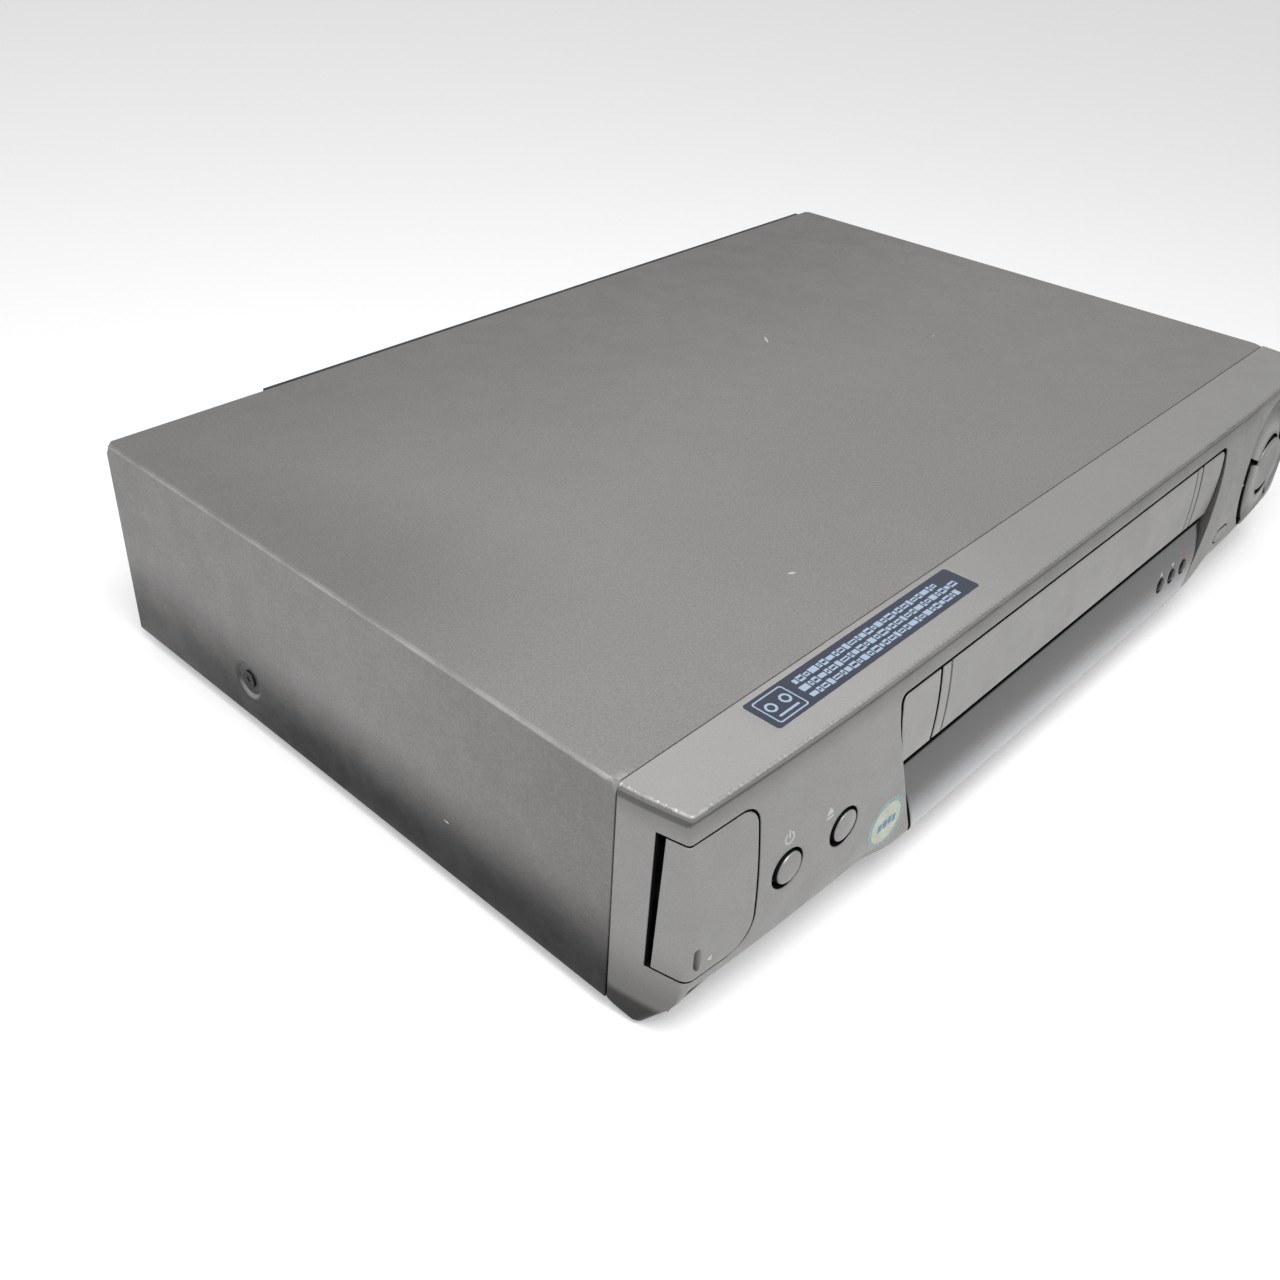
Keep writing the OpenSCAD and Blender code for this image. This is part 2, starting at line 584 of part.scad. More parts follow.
switch_w = 6;
switch_t = 2.1;
module switch_at(x, z) block([x - switch_w / 2, board_y - switch_t, z - switch_w / 2],
        [x + switch_w / 2, board_y + 0.01, z + switch_w / 2]);
module front_circuit_board() color([0.1, 0.32, 0.16]) at_seam() {
    difference() {
        along_y(board_y, board_y + board_t) polygon(frame_points(1));
        for (x = [front_left + 6, front_right - 6]) y_bar(x, board_y - 1, 25, 1.2, 4);
    }
    for (p = [power_at, eject_at, pill_at]) switch_at(p[0], top_z - p[1]);
    for (x = dot_keys_x) switch_at(x, top_z - dot_s);
    for (a = sector_mid) switch_at(cluster_x + stem_at * cos(a), top_z - cluster_s + stem_at * sin(a));
    switch_at(cluster_x, top_z - cluster_s);
    block([-40, board_y + board_t - 0.01, 16], [-12, board_y + board_t + 2.2, 36]);
    block([62, board_y + board_t - 0.01, 22], [86, board_y + board_t + 4, 28]);
}

// Jack flap and what it covers

function flap_stations() = [for (d = [-6, 5, 13, 20, 27]) d - corner_half];
flap_rows = [8, 15, 21, 27, 33, 40, 47, 54, 58, 61, 64];
notch_r = 6;
module av_flap() color([0.6, 0.59, 0.57]) at_seam() difference() {
    union() {
        intersection() {
            difference() {
                face_block(flap_stations(), flap_rows, 0, -10);
                face_block([for (d = [0.7, 5, 13, 20, 28]) d - corner_half], [6, 15, 21, 27, 33, 40,
                        47, 54, 58, 61, 66], flap_t, -5);
            }
            linear_extrude(top_z) plan_outline();
            along_y(-60, 0) flap_outline(0);
            along_x(-230, -100) flap_side(0, 0.8 - flap_rear, -0.8 - flap_rear);
        }
        translate([hinge_x, hinge_y, top_z - flap_bottom + 0.1]) cylinder(r = 1.9,
                h = flap_bottom - flap_top - 0.2);
        for (z = [top_z - flap_bottom - 3, top_z - flap_top - 1]) translate([hinge_x, hinge_y, z])
            cylinder(r = flap_pin_r, h = 4);
    }
    translate([-corner_half - 4.2, -28.6, top_z - 52]) sphere(r = notch_r);
}

pocket_x = [4 - corner_half, 2.1 - flap_right];
pocket_y = -6;
pocket_wall = 1.2;
front_jacks_z = [top_z - 21, top_z - 36, top_z - 51];
front_jack_x = -flap_right - 10.5;
module jack_pocket() color([0.07, 0.07, 0.075]) at_seam() difference() {
    union() {
        block([pocket_x[0], pocket_y, top_z - flap_bottom - 1.8], [pocket_x[1], pocket_y + pocket_wall,
                top_z - flap_top + 1.4]);
        block([pocket_x[1] - pocket_wall, -19.5, top_z - flap_bottom - 1.8], [pocket_x[1],
                pocket_y + 0.5, top_z - flap_top + 1.4]);
        for (z = [top_z - flap_bottom - 1.8, top_z - flap_top + 1.4 - 0.9])
            block([pocket_x[0] + 1, -12.5, z], [pocket_x[1] - 0.5, pocket_y + 0.5, z + 0.9]);
    }
    for (z = front_jacks_z) y_bar(front_jack_x, pocket_y - 1, z, phono_r + 0.9, 4);
}

// A phono socket: a plated barrel, with its body behind the panel.
module phono(x, y, z, out, back) translate([x, y, z]) rotate([90, 0, 0]) {
    difference() {
        union() {
            translate([0, 0, -back]) cylinder(r = phono_r + 0.6, h = back + 1);
            cylinder(r = phono_r, h = out);
            translate([-6, -6, -back - 10]) cube([12, 12, 10.01]);
        }
        translate([0, 0, 1]) cylinder(r = 1.6, h = out);
    }
}
module front_av_jacks() color([0.8, 0.78, 0.7]) at_seam() for (z = front_jacks_z)
    phono(front_jack_x, pocket_y, z, phono_len, 1.7);

// Keys

module dome(r, rise, depth) rotate([90, 0, 0]) rotate_extrude() polygon(concat(
    [[0, -depth], [r, -depth], [r, -0.6]],
    [for (i = [1:5]) [r * cos(18 * i), -0.6 + (rise + 0.6) * sin(18 * i)]]));

key_back = -20.2;
stem_end = -15;
module stem(y) {
    y_bar(0, y, 0, stem_r, stem_end - y);
    y_bar(0, frame_y + frame_t + 0.1, 0, stem_r + 0.7, 0.7);
}
module round_key(at) translate([at[0], 0, top_z - at[1]]) {
    face = face_y(at[0], at[1]);
    flange = face + wall + 1.3;
    translate([0, face - 0.2, 0]) dome(round_key_r, 0.8, flange - face + 0.21);
    y_bar(0, flange, 0, round_hole_r + 0.7, 1.3);
    stem(flange);
}
module power_button() color([0.6, 0.6, 0.6]) at_seam() round_key(power_at);
module eject_button() color([0.6, 0.6, 0.6]) at_seam() round_key(eject_at);

module dot_key(x) translate([x, 0, top_z - dot_s]) {
    face = window_y(dot_s);
    translate([0, face + 0.4, 0]) dome(dot_key_r, 0.5, 3);
    y_bar(0, face + 3.39, 0, dot_stem_r, stem_end - face - 3.39);
    y_bar(0, face + window_t + 1, 0, dot_hole_r + 0.4, 1);
}
module channel_down_button() color([0.15, 0.15, 0.16]) at_seam() dot_key(dot_keys_x[0]);
module channel_up_button() color([0.15, 0.15, 0.16]) at_seam() dot_key(dot_keys_x[1]);
module record_button() color([0.15, 0.15, 0.16]) at_seam() dot_key(dot_keys_x[2]);

module timer_button() color([0.58, 0.58, 0.58]) at_seam() translate([pill_at[0], 0, top_z - pill_at[1]]) {
    face = face_y(pill_at[0], pill_at[1]);
    flange = face + wall + 1.3;
    along_y(face - 0.3, flange + 0.01) stadium(pill_w, pill_h);
    along_y(flange, flange + 1.3) stadium(pill_w + 2, pill_h + 2);
    stem(flange);
}

// The round cluster: four sector keys round a dished middle key.
sector_mid = [90, 196, 270, 344];
sector_half = [65.5, 34.5, 33.5, 34.5];
sector_in = 15.4 * side_k;
sector_out = ring_r - 0.9;
cluster_stations = [for (d = [-32, -18, -6, 6, 18, 33]) cluster_x + d * side_k];
cluster_rows = [6, 12, 18, 25, 33, 41, 49, 56, 62, 67];
module sector(k, r0, r1) {
    a = sector_mid[k];
    h = sector_half[k];
    n = k == 0 ? 14 : 8;
    polygon(concat([for (t = steps(a - h, a + h, n)) [r1 * cos(t), r1 * sin(t)]],
        [for (t = steps(a + h, a - h, n)) [r0 * cos(t), r0 * sin(t)]]));
}
module sector_key(k, sunk) {
    intersection() {
        face_block(cluster_stations, cluster_rows, sunk, key_back);
        translate([cluster_x, 0, top_z - cluster_s]) along_y(-40, key_back) sector(k, sector_in, sector_out);
    }
    translate([cluster_x, 0, top_z - cluster_s]) {
        a = sector_mid[k];
        translate([stem_at * cos(a), 0, stem_at * sin(a)]) stem(key_back - 0.01);
    }
}
module play_button() color([0.6, 0.6, 0.59]) at_seam() sector_key(0, 0.9);
module rewind_button() color([0.5, 0.5, 0.5]) at_seam() sector_key(1, 1.6);
module stop_button() color([0.5, 0.5, 0.5]) at_seam() sector_key(2, 1.6);
module fast_forward_button() color([0.5, 0.5, 0.5]) at_seam() sector_key(3, 1.6);
module pause_button() color([0.62, 0.62, 0.61]) at_seam() translate([cluster_x, 0, top_z - cluster_s]) {
    face = face_y(cluster_x, cluster_s) - 1.4;
    depth = key_back - face;
    translate([0, face, 0]) rotate([90, 0, 0]) rotate_extrude($fn = curve_fn) polygon([[0, -depth],
            [mid_r, -depth],
        [mid_r, -1.2], [mid_r - 0.3, -0.4], [mid_r - 1, 0], [mid_r - 2, -0.1], [9 * side_k, -0.7],
                [5 * side_k, -1.1], [0, -1.2]]);
    stem(key_back - 0.01);
}

// Deck

deck_t = 1.6;
deck_x = 103;
deck_y = [-4, 214];
deck_top = deck_z + deck_t;
reel_y = 84;
reel_x = reel_gap / 2;
drum_y = 178;
capstan_at = [56, 147];
pinch_pivot = [78, 146];
capstan_reach = capstan_r + pinch_r + 0.4;
pinch_stop = [capstan_at[0] - 1, capstan_at[1] - capstan_reach];
pinch_len = norm(pinch_stop - pinch_pivot);
pinch_angle = atan2(pinch_stop[1] - pinch_pivot[1], pinch_stop[0] - pinch_pivot[0]);
supply_track = [-30, 118];
takeup_track = [30, 118];
supply_dir = [-0.19, 0.982];
takeup_dir = [0.19, 0.982];
tension_pivot = [-84, 128];
tension_len = 28;
tension_angle = -8;
clutch_at = [0, 54];
idler_len = 30;
idler_r = 13;
cam_at = [72, 192];
cam_teeth = 40;
pinion_teeth = 12;
pinion_at = cam_at + [(cam_teeth + pinion_teeth) / 2, 0];

module on_deck(p) translate([p[0], p[1], deck_top]) children();

module track(start, dir, r) {
    a = atan2(dir[1], dir[0]);
    translate([0, 0, deck_z - 1]) linear_extrude(deck_t + 2)
        polygon(concat(arc(start, r, a + 90, a + 270, 12), arc(start + dir * guide_travel, r, a - 90,
                a + 90, 12)));
}
track_r = 3;
shaft_r = 1.5;
module deck_plate() color([0.66, 0.66, 0.64]) at_seam() difference() {
    union() {
        block([-deck_x, deck_y[0], deck_z], [deck_x, deck_y[1], deck_top]);
        on_deck([0, drum_y]) cylinder(r = 24, h = 2, $fn = curve_fn);
    }
    track(supply_track, supply_dir, track_r);
    track(takeup_track, takeup_dir, track_r);
    for (p = [[-reel_x, reel_y], [reel_x, reel_y], pinch_pivot, tension_pivot, cam_at])
        translate([p[0], p[1], deck_z - 1]) cylinder(r = shaft_r, h = deck_t + 2);
    translate([clutch_at[0], clutch_at[1], deck_z - 1]) cylinder(r = 5, h = deck_t + 2);
    translate([capstan_at[0], capstan_at[1], deck_z - 1]) cylinder(r = capstan_r + 2.2, h = deck_t + 2);
    translate([pinion_at[0], pinion_at[1], deck_z - 1]) cylinder(r = 1 + fit, h = deck_t + 2);
    translate([0, drum_y, deck_z - 1]) cylinder(r = 10, h = deck_t + 4);
    for (x = [-80, 80]) block([x - 12, 16, deck_z - 1], [x + 12, 52, deck_top + 1]);
}

// Side frames stand on the deck and guide the basket's pins.
side_x0 = tape_w / 2 + tape_room + 0.9;
frame_x = side_x0 + 4.4;
frame_side_t = 1.2;
pin_z = 62;
pin_r = 1.6;
basket_y0 = 7;
basket_len = 50;
basket_pins = [basket_y0 + 8, basket_y0 + 42];
pin_window = [[basket_pins[0] - 3.4, pin_z - travel_down - 3.4], [basket_pins[1] + travel_in + 3.4,
        pin_z + 3.4]];
rail_z = 76.5;
rail_pin_r = 1.4;
rail_slot_r = rail_pin_r + 0.3;
rail_pins = [basket_y0 + 6, basket_y0 + 44];
module side_frames() color([0.7, 0.7, 0.68]) at_seam() for (side = [-1, 1]) mirror([side > 0 ? 1 : 0,
        0, 0]) difference() {
    union() {
        block([-frame_x - frame_side_t, -2, deck_top], [-frame_x, 150, 82]);
        block([-frame_x - frame_side_t + 0.01, 10, deck_top], [-frame_x + 3, 24, deck_top + 1.2]);
        block([-frame_x - frame_side_t + 0.01, 130, deck_top], [-frame_x + 3, 148, deck_top + 1.2]);
    }
    along_x(-frame_x - 3, -frame_x + 3) polygon(soft_rect(pin_window[0], pin_window[1], [3, 3, 3, 3]));
    along_x(-frame_x - 3, -frame_x + 0.5) polygon([[30, 24], [120, 24], [112, 34], [38, 34]]);
    along_x(-frame_x - 3, -frame_x + 0.5) polygon(soft_rect([rail_pins[0] - rail_slot_r,
            rail_z - rail_slot_r],
        [rail_pins[1] + travel_in + rail_slot_r, rail_z + rail_slot_r], [1.6, 1.6, 1.6, 1.6]));
}

// The slider carries the basket in, and the basket goes down in its slots.
slider_x = side_x0 + 1.4;
slider_t = 1.2;
slider_y = [basket_y0 + 2, basket_y0 + 48];
module carriage_slider() color([0.35, 0.35, 0.36]) at_seam() {
    for (side = [-1, 1]) mirror([side > 0 ? 1 : 0, 0, 0]) {
        difference() {
            block([-slider_x - slider_t, slider_y[0], 38], [-slider_x, slider_y[1], 81]);
            for (y = basket_pins) along_x(-slider_x - 3, -slider_x + 1) polygon(soft_rect(
                [y - pin_r - 0.35, pin_z - travel_down - pin_r - 0.35], [y + pin_r + 0.35,
                        pin_z + pin_r + 0.35],
                [1, 1, 1, 1]));
        }
    }
    block([-slider_x - slider_t, slider_y[0] + 14, 79.8], [slider_x + slider_t, slider_y[0] + 32, 81]);
    for (side = [-1, 1]) mirror([side > 0 ? 1 : 0, 0, 0]) for (y = rail_pins)
        x_bar(-frame_x - frame_side_t - 0.6, y, rail_z, rail_pin_r,
                frame_x + frame_side_t + 0.61 - slider_x - slider_t);
}

// The basket holds a cassette by its sides, under sprung tabs.
basket_floor = 46.9;
basket_wall = 0.8;
basket_in = tape_w / 2 + tape_room;
basket_top = basket_floor + tape_h + 2 * tape_room;
module cassette_basket() color([0.72, 0.72, 0.7]) at_seam() {
    for (side = [-1, 1]) mirror([side > 0 ? 1 : 0, 0, 0]) {
        block([-basket_in - basket_wall, basket_y0, basket_floor - 0.8], [-basket_in,
                basket_y0 + basket_len, basket_top + 0.8]);
        block([-basket_in - 0.01, basket_y0, basket_floor - 0.8], [-72, basket_y0 + basket_len,
                basket_floor]);
        for (y = basket_pins) x_bar(-frame_x - frame_side_t - 0.8, y, pin_z, pin_r,
                frame_x + frame_side_t + 0.8 - basket_in - 0.3);
    }
    difference() {
        block([-basket_in - 0.01, basket_y0 + 8, basket_top], [basket_in + 0.01,
                basket_y0 + basket_len, basket_top + 0.8]);
        for (x = [-56, 56]) block([x - 18, basket_y0 + 18, basket_top - 1], [x + 18, basket_y0 + 42,
                basket_top + 2]);
        block([-24, basket_y0 + 22, basket_top - 1], [24, basket_y0 + 40, basket_top + 2]);
    }
}

// Reels

reel_r = 21;
reel_bottom = deck_top + 1;
reel_rim_t = 4;
hub_r = 8;
spindle_r = 5;
module reel() on_deck([0, 0]) difference() {
    union() {
        translate([0, 0, 1]) cylinder(r = reel_r, h = reel_rim_t, $fn = curve_fn);
        translate([0, 0, 1 + reel_rim_t - 0.01]) cylinder(r = 13, h = 2.6);
        translate([0, 0, 1]) cylinder(r = spindle_r, h = 17);
        translate([0, 0, 17.99]) cylinder(r1 = spindle_r, r2 = 2.6, h = 3);
        for (a = [0:60:300]) rotate(a) translate([spindle_r - 1, -0.8, 7]) cube([2.3, 1.6, 9]);
    }
    translate([0, 0, 0]) cylinder(r = shaft_r + fit, h = 18);
    for (a = [0:45:315]) rotate(a) translate([13.6, 0, 2.5]) cylinder(r = 1.6, h = 4);
}
module supply_reel() color([0.9, 0.9, 0.88]) at_seam() translate([-reel_x, reel_y, 0]) reel();
module takeup_reel() color([0.9, 0.9, 0.88]) at_seam() translate([reel_x, reel_y, 0]) reel();

// Fixed shafts pressed into the deck, each with a washer under its wheel.
module shaft(p, h, washer) translate([p[0], p[1], deck_z]) {
    cylinder(r = shaft_r, h = h);
    translate([0, 0, deck_t]) cylinder(r = shaft_r + 1.4, h = washer);
}
module reel_shafts() color([0.8, 0.8, 0.82]) at_seam() {
    for (x = [-reel_x, reel_x]) shaft([x, reel_y], 18, 0.8);
    shaft(pinch_pivot, 24, 0.8);
    shaft(tension_pivot, 8.6, 0.8);
    shaft(cam_at, 12, 0.8);
    translate([clutch_at[0], clutch_at[1], foot_h + sheet]) {
        cylinder(r = shaft_r, h = deck_top + 8 - foot_h - sheet);
        cylinder(r = 4, h = belt_z - foot_h - sheet - 1.2);
    }
}

// The idler swings about the clutch's shaft and drives one reel by its rubber tyre.
idler_z = deck_top + 5.8;
module idler_arm() color([0.2, 0.2, 0.21]) at_seam() translate([clutch_at[0], clutch_at[1], 0]) {
    difference() {
        union() {
            translate([0, 0, idler_z]) cylinder(r = 4, h = 2.2);
            block([-2.5, 0, idler_z], [2.5, idler_len, idler_z + 1.4]);
            translate([0, idler_len, idler_z]) cylinder(r = 4, h = 1.4);
        }
        translate([0, 0, deck_z]) cylinder(r = shaft_r + fit, h = 12);
    }
    translate([0, idler_len, deck_top + 0.6]) cylinder(r = shaft_r, h = idler_z - deck_top - 0.5);
}
module idler_wheel() color([0.1, 0.1, 0.1]) at_seam() translate([clutch_at[0],
        clutch_at[1] + idler_len, deck_top + 1]) difference() {
    union() {
        cylinder(r = idler_r - 1.5, h = 4.2, $fn = curve_fn);
        translate([0, 0, 0.6]) cylinder(r = idler_r, h = 3, $fn = curve_fn);
    }
    translate([0, 0, -1]) cylinder(r = shaft_r + fit, h = 8);
}

// Drum

lower_h = 17;
upper_h = 15;
drum_foot = deck_top + 3.4;
rotor_r = 22;
module on_drum_axis() translate([0, drum_y, drum_foot]) rotate([drum_lean, 0, 0]) children();
module lower_drum() color([0.78, 0.79, 0.8]) at_seam() difference() {
    union() {
        on_drum_axis() translate([0, 0, 1.2]) cylinder(r = drum_r, h = lower_h - 1.2, $fn = curve_fn);
        intersection() {
            on_drum_axis() translate([0, 0, -8]) cylinder(r = 22, h = 10, $fn = curve_fn);
            translate([-40, drum_y - 40, deck_top + 2]) cube([80, 80, 20]);
        }
    }
    on_drum_axis() translate([0, 0, -9]) cylinder(r = 3 + fit, h = 40);
    on_drum_axis() translate([0, 0, lower_h - 9]) cylinder(r = 9, h = 20);
    on_drum_axis() rotate([0, 4, 0]) translate([0, 0, lower_h - 2]) difference() {
        cylinder(r = drum_r + 3, h = 0.7, $fn = curve_fn);
        translate([0, 0, -1]) cylinder(r = drum_r - 0.5, h = 3, $fn = curve_fn);
    }
}
module upper_drum() color([0.85, 0.86, 0.87]) at_seam() on_drum_axis() difference() {
    union() {
        translate([0, 0, lower_h + 0.3]) cylinder(r = drum_r - 0.02, h = upper_h, $fn = curve_fn);
        translate([0, 0, lower_h + upper_h + 0.29]) cylinder(r = rotor_r, h = 5, $fn = curve_fn);
        translate([0, 0, 0]) cylinder(r = 3, h = lower_h + 1);
        translate([0, 0, lower_h + upper_h + 5.28]) cylinder(r = 5, h = 2.5);
    }
    for (a = [0, 180]) rotate(a) translate([drum_r - 2.5, -1.6, lower_h - 1]) cube([4, 3.2, 4.3]);
    for (a = [45, 135, 225, 315]) rotate(a) translate([14, 0, lower_h + upper_h + 2]) cylinder(r = 2.4,
            h = 5);
    translate([0, 0, lower_h + upper_h + 6]) cylinder(r = 1.5, h = 4);
}

// Capstan with its flywheel below the deck, in the motor's bearing.
capstan_top = deck_top + 34;
flywheel_r = 26;
pulley_r = 7;
belt_t = 0.8;
belt_gap = 0.3;
belt_z = deck_z - 3.6;
belt_h = 2;
module capstan() color([0.82, 0.83, 0.85]) at_seam() translate([capstan_at[0], capstan_at[1], 0]) {
    translate([0, 0, foot_h + sheet + 1.4]) cylinder(r = capstan_r, h = capstan_top - foot_h - sheet - 1.4);
    translate([0, 0, foot_h + sheet + 3]) cylinder(r = flywheel_r, h = 4, $fn = curve_fn);
    translate([0, 0, belt_z - 0.5]) cylinder(r = pulley_r, h = belt_h + 1);
}
module capstan_motor() color([0.5, 0.5, 0.5]) at_seam() difference() {
    union() {
        translate([capstan_at[0], capstan_at[1], foot_h + sheet]) cylinder(r = 30, h = 2.2, $fn = curve_fn);
        translate([capstan_at[0], capstan_at[1], deck_z - 0.4]) cylinder(r = capstan_r + 2.1,
                h = pinch_z - deck_z);
        translate([capstan_at[0], capstan_at[1], deck_top]) cylinder(r = 7, h = 1.5);
    }
    translate([capstan_at[0], capstan_at[1], foot_h + sheet + 1.2]) cylinder(r = capstan_r + fit, h = 40);
}

// A flat belt loops round the capstan's and the clutch's pulleys below the deck.
clutch_r = 14;
clutch_disc_r = idler_len - idler_r - 0.3;
belt_vec = clutch_at - capstan_at;
belt_turn = atan2(belt_vec[1], belt_vec[0]);
belt_span = norm(belt_vec);
belt_tilt = asin((clutch_r - pulley_r) / belt_span);
module belt_loop(grow) {
    a = pulley_r + grow;
    b = clutch_r + grow;
    polygon(concat(arc([0, 0], a, 90 + belt_tilt, 270 - belt_tilt, 16), arc([belt_span, 0], b,
            -90 - belt_tilt, 90 + belt_tilt, 24)));
}
module drive_belt() color([0.05, 0.05, 0.05]) at_seam() translate([capstan_at[0], capstan_at[1],
        belt_z]) rotate(belt_turn)
    linear_extrude(belt_h) difference() {
        belt_loop(belt_gap + belt_t);
        belt_loop(belt_gap);
    }
module clutch_pulley() color([0.85, 0.85, 0.83]) at_seam() translate([clutch_at[0], clutch_at[1],
        0]) difference() {
    union() {
        translate([0, 0, belt_z - 0.6]) cylinder(r = clutch_r, h = belt_h + 1.2, $fn = curve_fn);
        translate([0, 0, belt_z]) cylinder(r = 4.6, h = deck_top + 2 - belt_z);
        translate([0, 0, deck_top + 0.9]) cylinder(r = clutch_disc_r, h = 4.3, $fn = curve_fn);
    }
    translate([0, 0, belt_z - 2]) cylinder(r = shaft_r + fit, h = 20);
    for (a = [0:60:300]) rotate(a) translate([10, 0, deck_top + 3]) cylinder(r = 2.4, h = 4);
}

// Tape path

arm_z = deck_top + 1;
module pinch_arm() color([0.3, 0.3, 0.31]) at_seam() translate([pinch_pivot[0], pinch_pivot[1], 0])
    rotate(pinch_angle + pinch_swing) {
        difference() {
            union() {
                translate([0, 0, arm_z]) cylinder(r = 4, h = 20);
                translate([0, -2.5, arm_z + 1]) cube([pinch_len, 5, 2]);
                translate([pinch_len, 0, arm_z + 1]) cylinder(r = 4, h = 2);
            }
            translate([0, 0, deck_z]) cylinder(r = shaft_r + fit, h = 30);
        }
        translate([pinch_len, 0, arm_z + 2]) cylinder(r = shaft_r, h = 21);
    }
pinch_z = arm_z + 4;
pinch_h = 16;
module pinch_roller() color([0.09, 0.09, 0.09]) at_seam() translate([pinch_pivot[0], pinch_pivot[1], 0])
    rotate(pinch_angle + pinch_swing) translate([pinch_len, 0, pinch_z]) difference() {
        cylinder(r = pinch_r, h = pinch_h);
        translate([0, 0, -1]) cylinder(r = shaft_r + fit, h = pinch_h + 2);
    }

guide_r = 2.8;
module tape_guide(start, lean) translate([start[0], start[1], 0]) {
    translate([0, 0, deck_z - 1.2]) cylinder(r = track_r - 0.35, h = deck_t + 2.2);
    translate([0, 0, deck_z - 1.3]) cylinder(r = 5, h = 1);
    translate([0, 0, deck_top + 0.4]) cylinder(r = 5.4, h = 2.4);
    translate([0, 0, deck_top + 2.7]) cylinder(r = 1.4, h = 24);
    translate([0, 0, deck_top + 5]) cylinder(r = guide_r, h = 15);
    translate([0, 0, deck_top + 4]) cylinder(r = guide_r + 1, h = 1.01);
    translate([0, 0, deck_top + 19.99]) cylinder(r = guide_r + 1, h = 1.4);
}
module supply_guide() color([0.8, 0.8, 0.78]) at_seam() tape_guide(supply_track);
module takeup_guide() color([0.8, 0.8, 0.78]) at_seam() tape_guide(takeup_track);

module tension_arm() color([0.72, 0.72, 0.7]) at_seam() translate([tension_pivot[0], tension_pivot[1],
        0]) rotate(tension_angle) {
    difference() {
        union() {
            translate([0, 0, arm_z]) cylinder(r = 4, h = 5.4);
            translate([0, -2, arm_z + 1]) cube([tension_len, 4, 1.4]);
            translate([tension_len, 0, arm_z + 1]) cylinder(r = 2.6, h = 1.4);
        }
        translate([0, 0, deck_z]) cylinder(r = shaft_r + fit, h = 14);
    }
    translate([tension_len, 0, arm_z + 2]) cylinder(r = 1.4, h = 20);
}

// Loading gears with involute teeth of module 1.
tooth_backlash = 0.12;
pressure = 20;
function involute(rb, t) = [rb * (cos(t) + t * PI / 180 * sin(t)), rb * (sin(t) - t * PI / 180 * cos(t))];
function roll_at(rb, r) = sqrt(pow(r / rb, 2) - 1) * 180 / PI;
function turned(p, a) = [p[0] * cos(a) - p[1] * sin(a), p[0] * sin(a) + p[1] * cos(a)];
module gear_outline(teeth) {
    rp = teeth / 2;
    rb = rp * cos(pressure);
    rt = rp + 0.75;
    rr = rp - 1.2;
    mid = roll_at(rb, rp);
    flank = mid - atan2(sin(mid) - mid * PI / 180 * cos(mid), cos(mid) + mid * PI / 180 * sin(mid)) ;
    at_pitch = atan2(involute(rb, mid)[1], involute(rb, mid)[0]);
    half = 90 / teeth - tooth_backlash / rp * 90 / PI;
    low = rr > rb ? roll_at(rb, rr + 0.02) : 0;
    side = [for (i = [0:5]) turned(involute(rb, low + (roll_at(rb, rt) - low) * i / 5), -at_pitch - half)];
    tooth = concat([turned([rr, 0], -at_pitch - half)], side, [for (i = [5:-1:0]) [side[i][0], -side[i][1]]],
        [turned([rr, 0], at_pitch + half)]);
    polygon([for (k = [0:teeth - 1]) for (p = tooth) turned(p, 360 * k / teeth)]);
}
gear_z = deck_top + 1;
gear_t = 4;
module cam_gear() color([0.92, 0.9, 0.82]) at_seam() translate([cam_at[0], cam_at[1], gear_z]) difference() {
    union() {
        linear_extrude(gear_t) gear_outline(cam_teeth);
        cylinder(r = 5, h = 8);
    }
    translate([0, 0, -1]) cylinder(r = shaft_r + fit, h = 12);
    translate([0, 0, 2.4]) difference() {
        translate([2, 0, 0]) cylinder(r = 13, h = 4);
        translate([2, 0, -1]) cylinder(r = 9.5, h = 6);
        cylinder(r = 6.5, h = 6);
    }
}
module loading_pinion() color([0.9, 0.9, 0.9]) at_seam() translate([pinion_at[0], pinion_at[1],
        gear_z]) rotate(180 / pinion_teeth) {
    linear_extrude(gear_t + 0.4) gear_outline(pinion_teeth);
    translate([0, 0, -deck_t - 0.6]) cylinder(r = 1, h = gear_t + 6);
}
motor_z = gear_z + gear_t + 2;
module loading_motor() color([0.6, 0.6, 0.62]) at_seam() difference() {
    union() {
        translate([pinion_at[0], pinion_at[1], motor_z]) cylinder(r = 11, h = 24);
        translate([pinion_at[0], pinion_at[1], motor_z + 23.9]) cylinder(r = 4, h = 2.4);
        block([pinion_at[0] - 7, pinion_at[1] + 11.5, deck_top], [pinion_at[0] + 4, pinion_at[1] + 13,
                motor_z + 16]);
        block([pinion_at[0] - 7, pinion_at[1] + 5, motor_z - 1.2], [pinion_at[0] + 4,
                pinion_at[1] + 13, motor_z + 0.01]);
        translate([pinion_at[0], pinion_at[1], motor_z - 1.2]) cylinder(r = 9, h = 1.3);
    }
    translate([pinion_at[0], pinion_at[1], motor_z - 2]) cylinder(r = 1 + fit, h = 8);
}

module erase_head() color([0.7, 0.7, 0.72]) at_seam() on_deck([-66, 154]) {
    block([-5, -4, 0], [5, 4, 8]);
    block([-3.5, -6, 7.99], [3.5, 3, 24]);
}
module audio_control_head() color([0.75, 0.75, 0.77]) at_seam() on_deck([47, 167]) {
    block([-6, -3, 0], [6, 5, 6]);
    block([-4.5, -5, 5.99], [4.5, 3, 26]);
    translate([4, 3, 5.99]) cylinder(r = 1.5, h = 10);
}

// Electronics

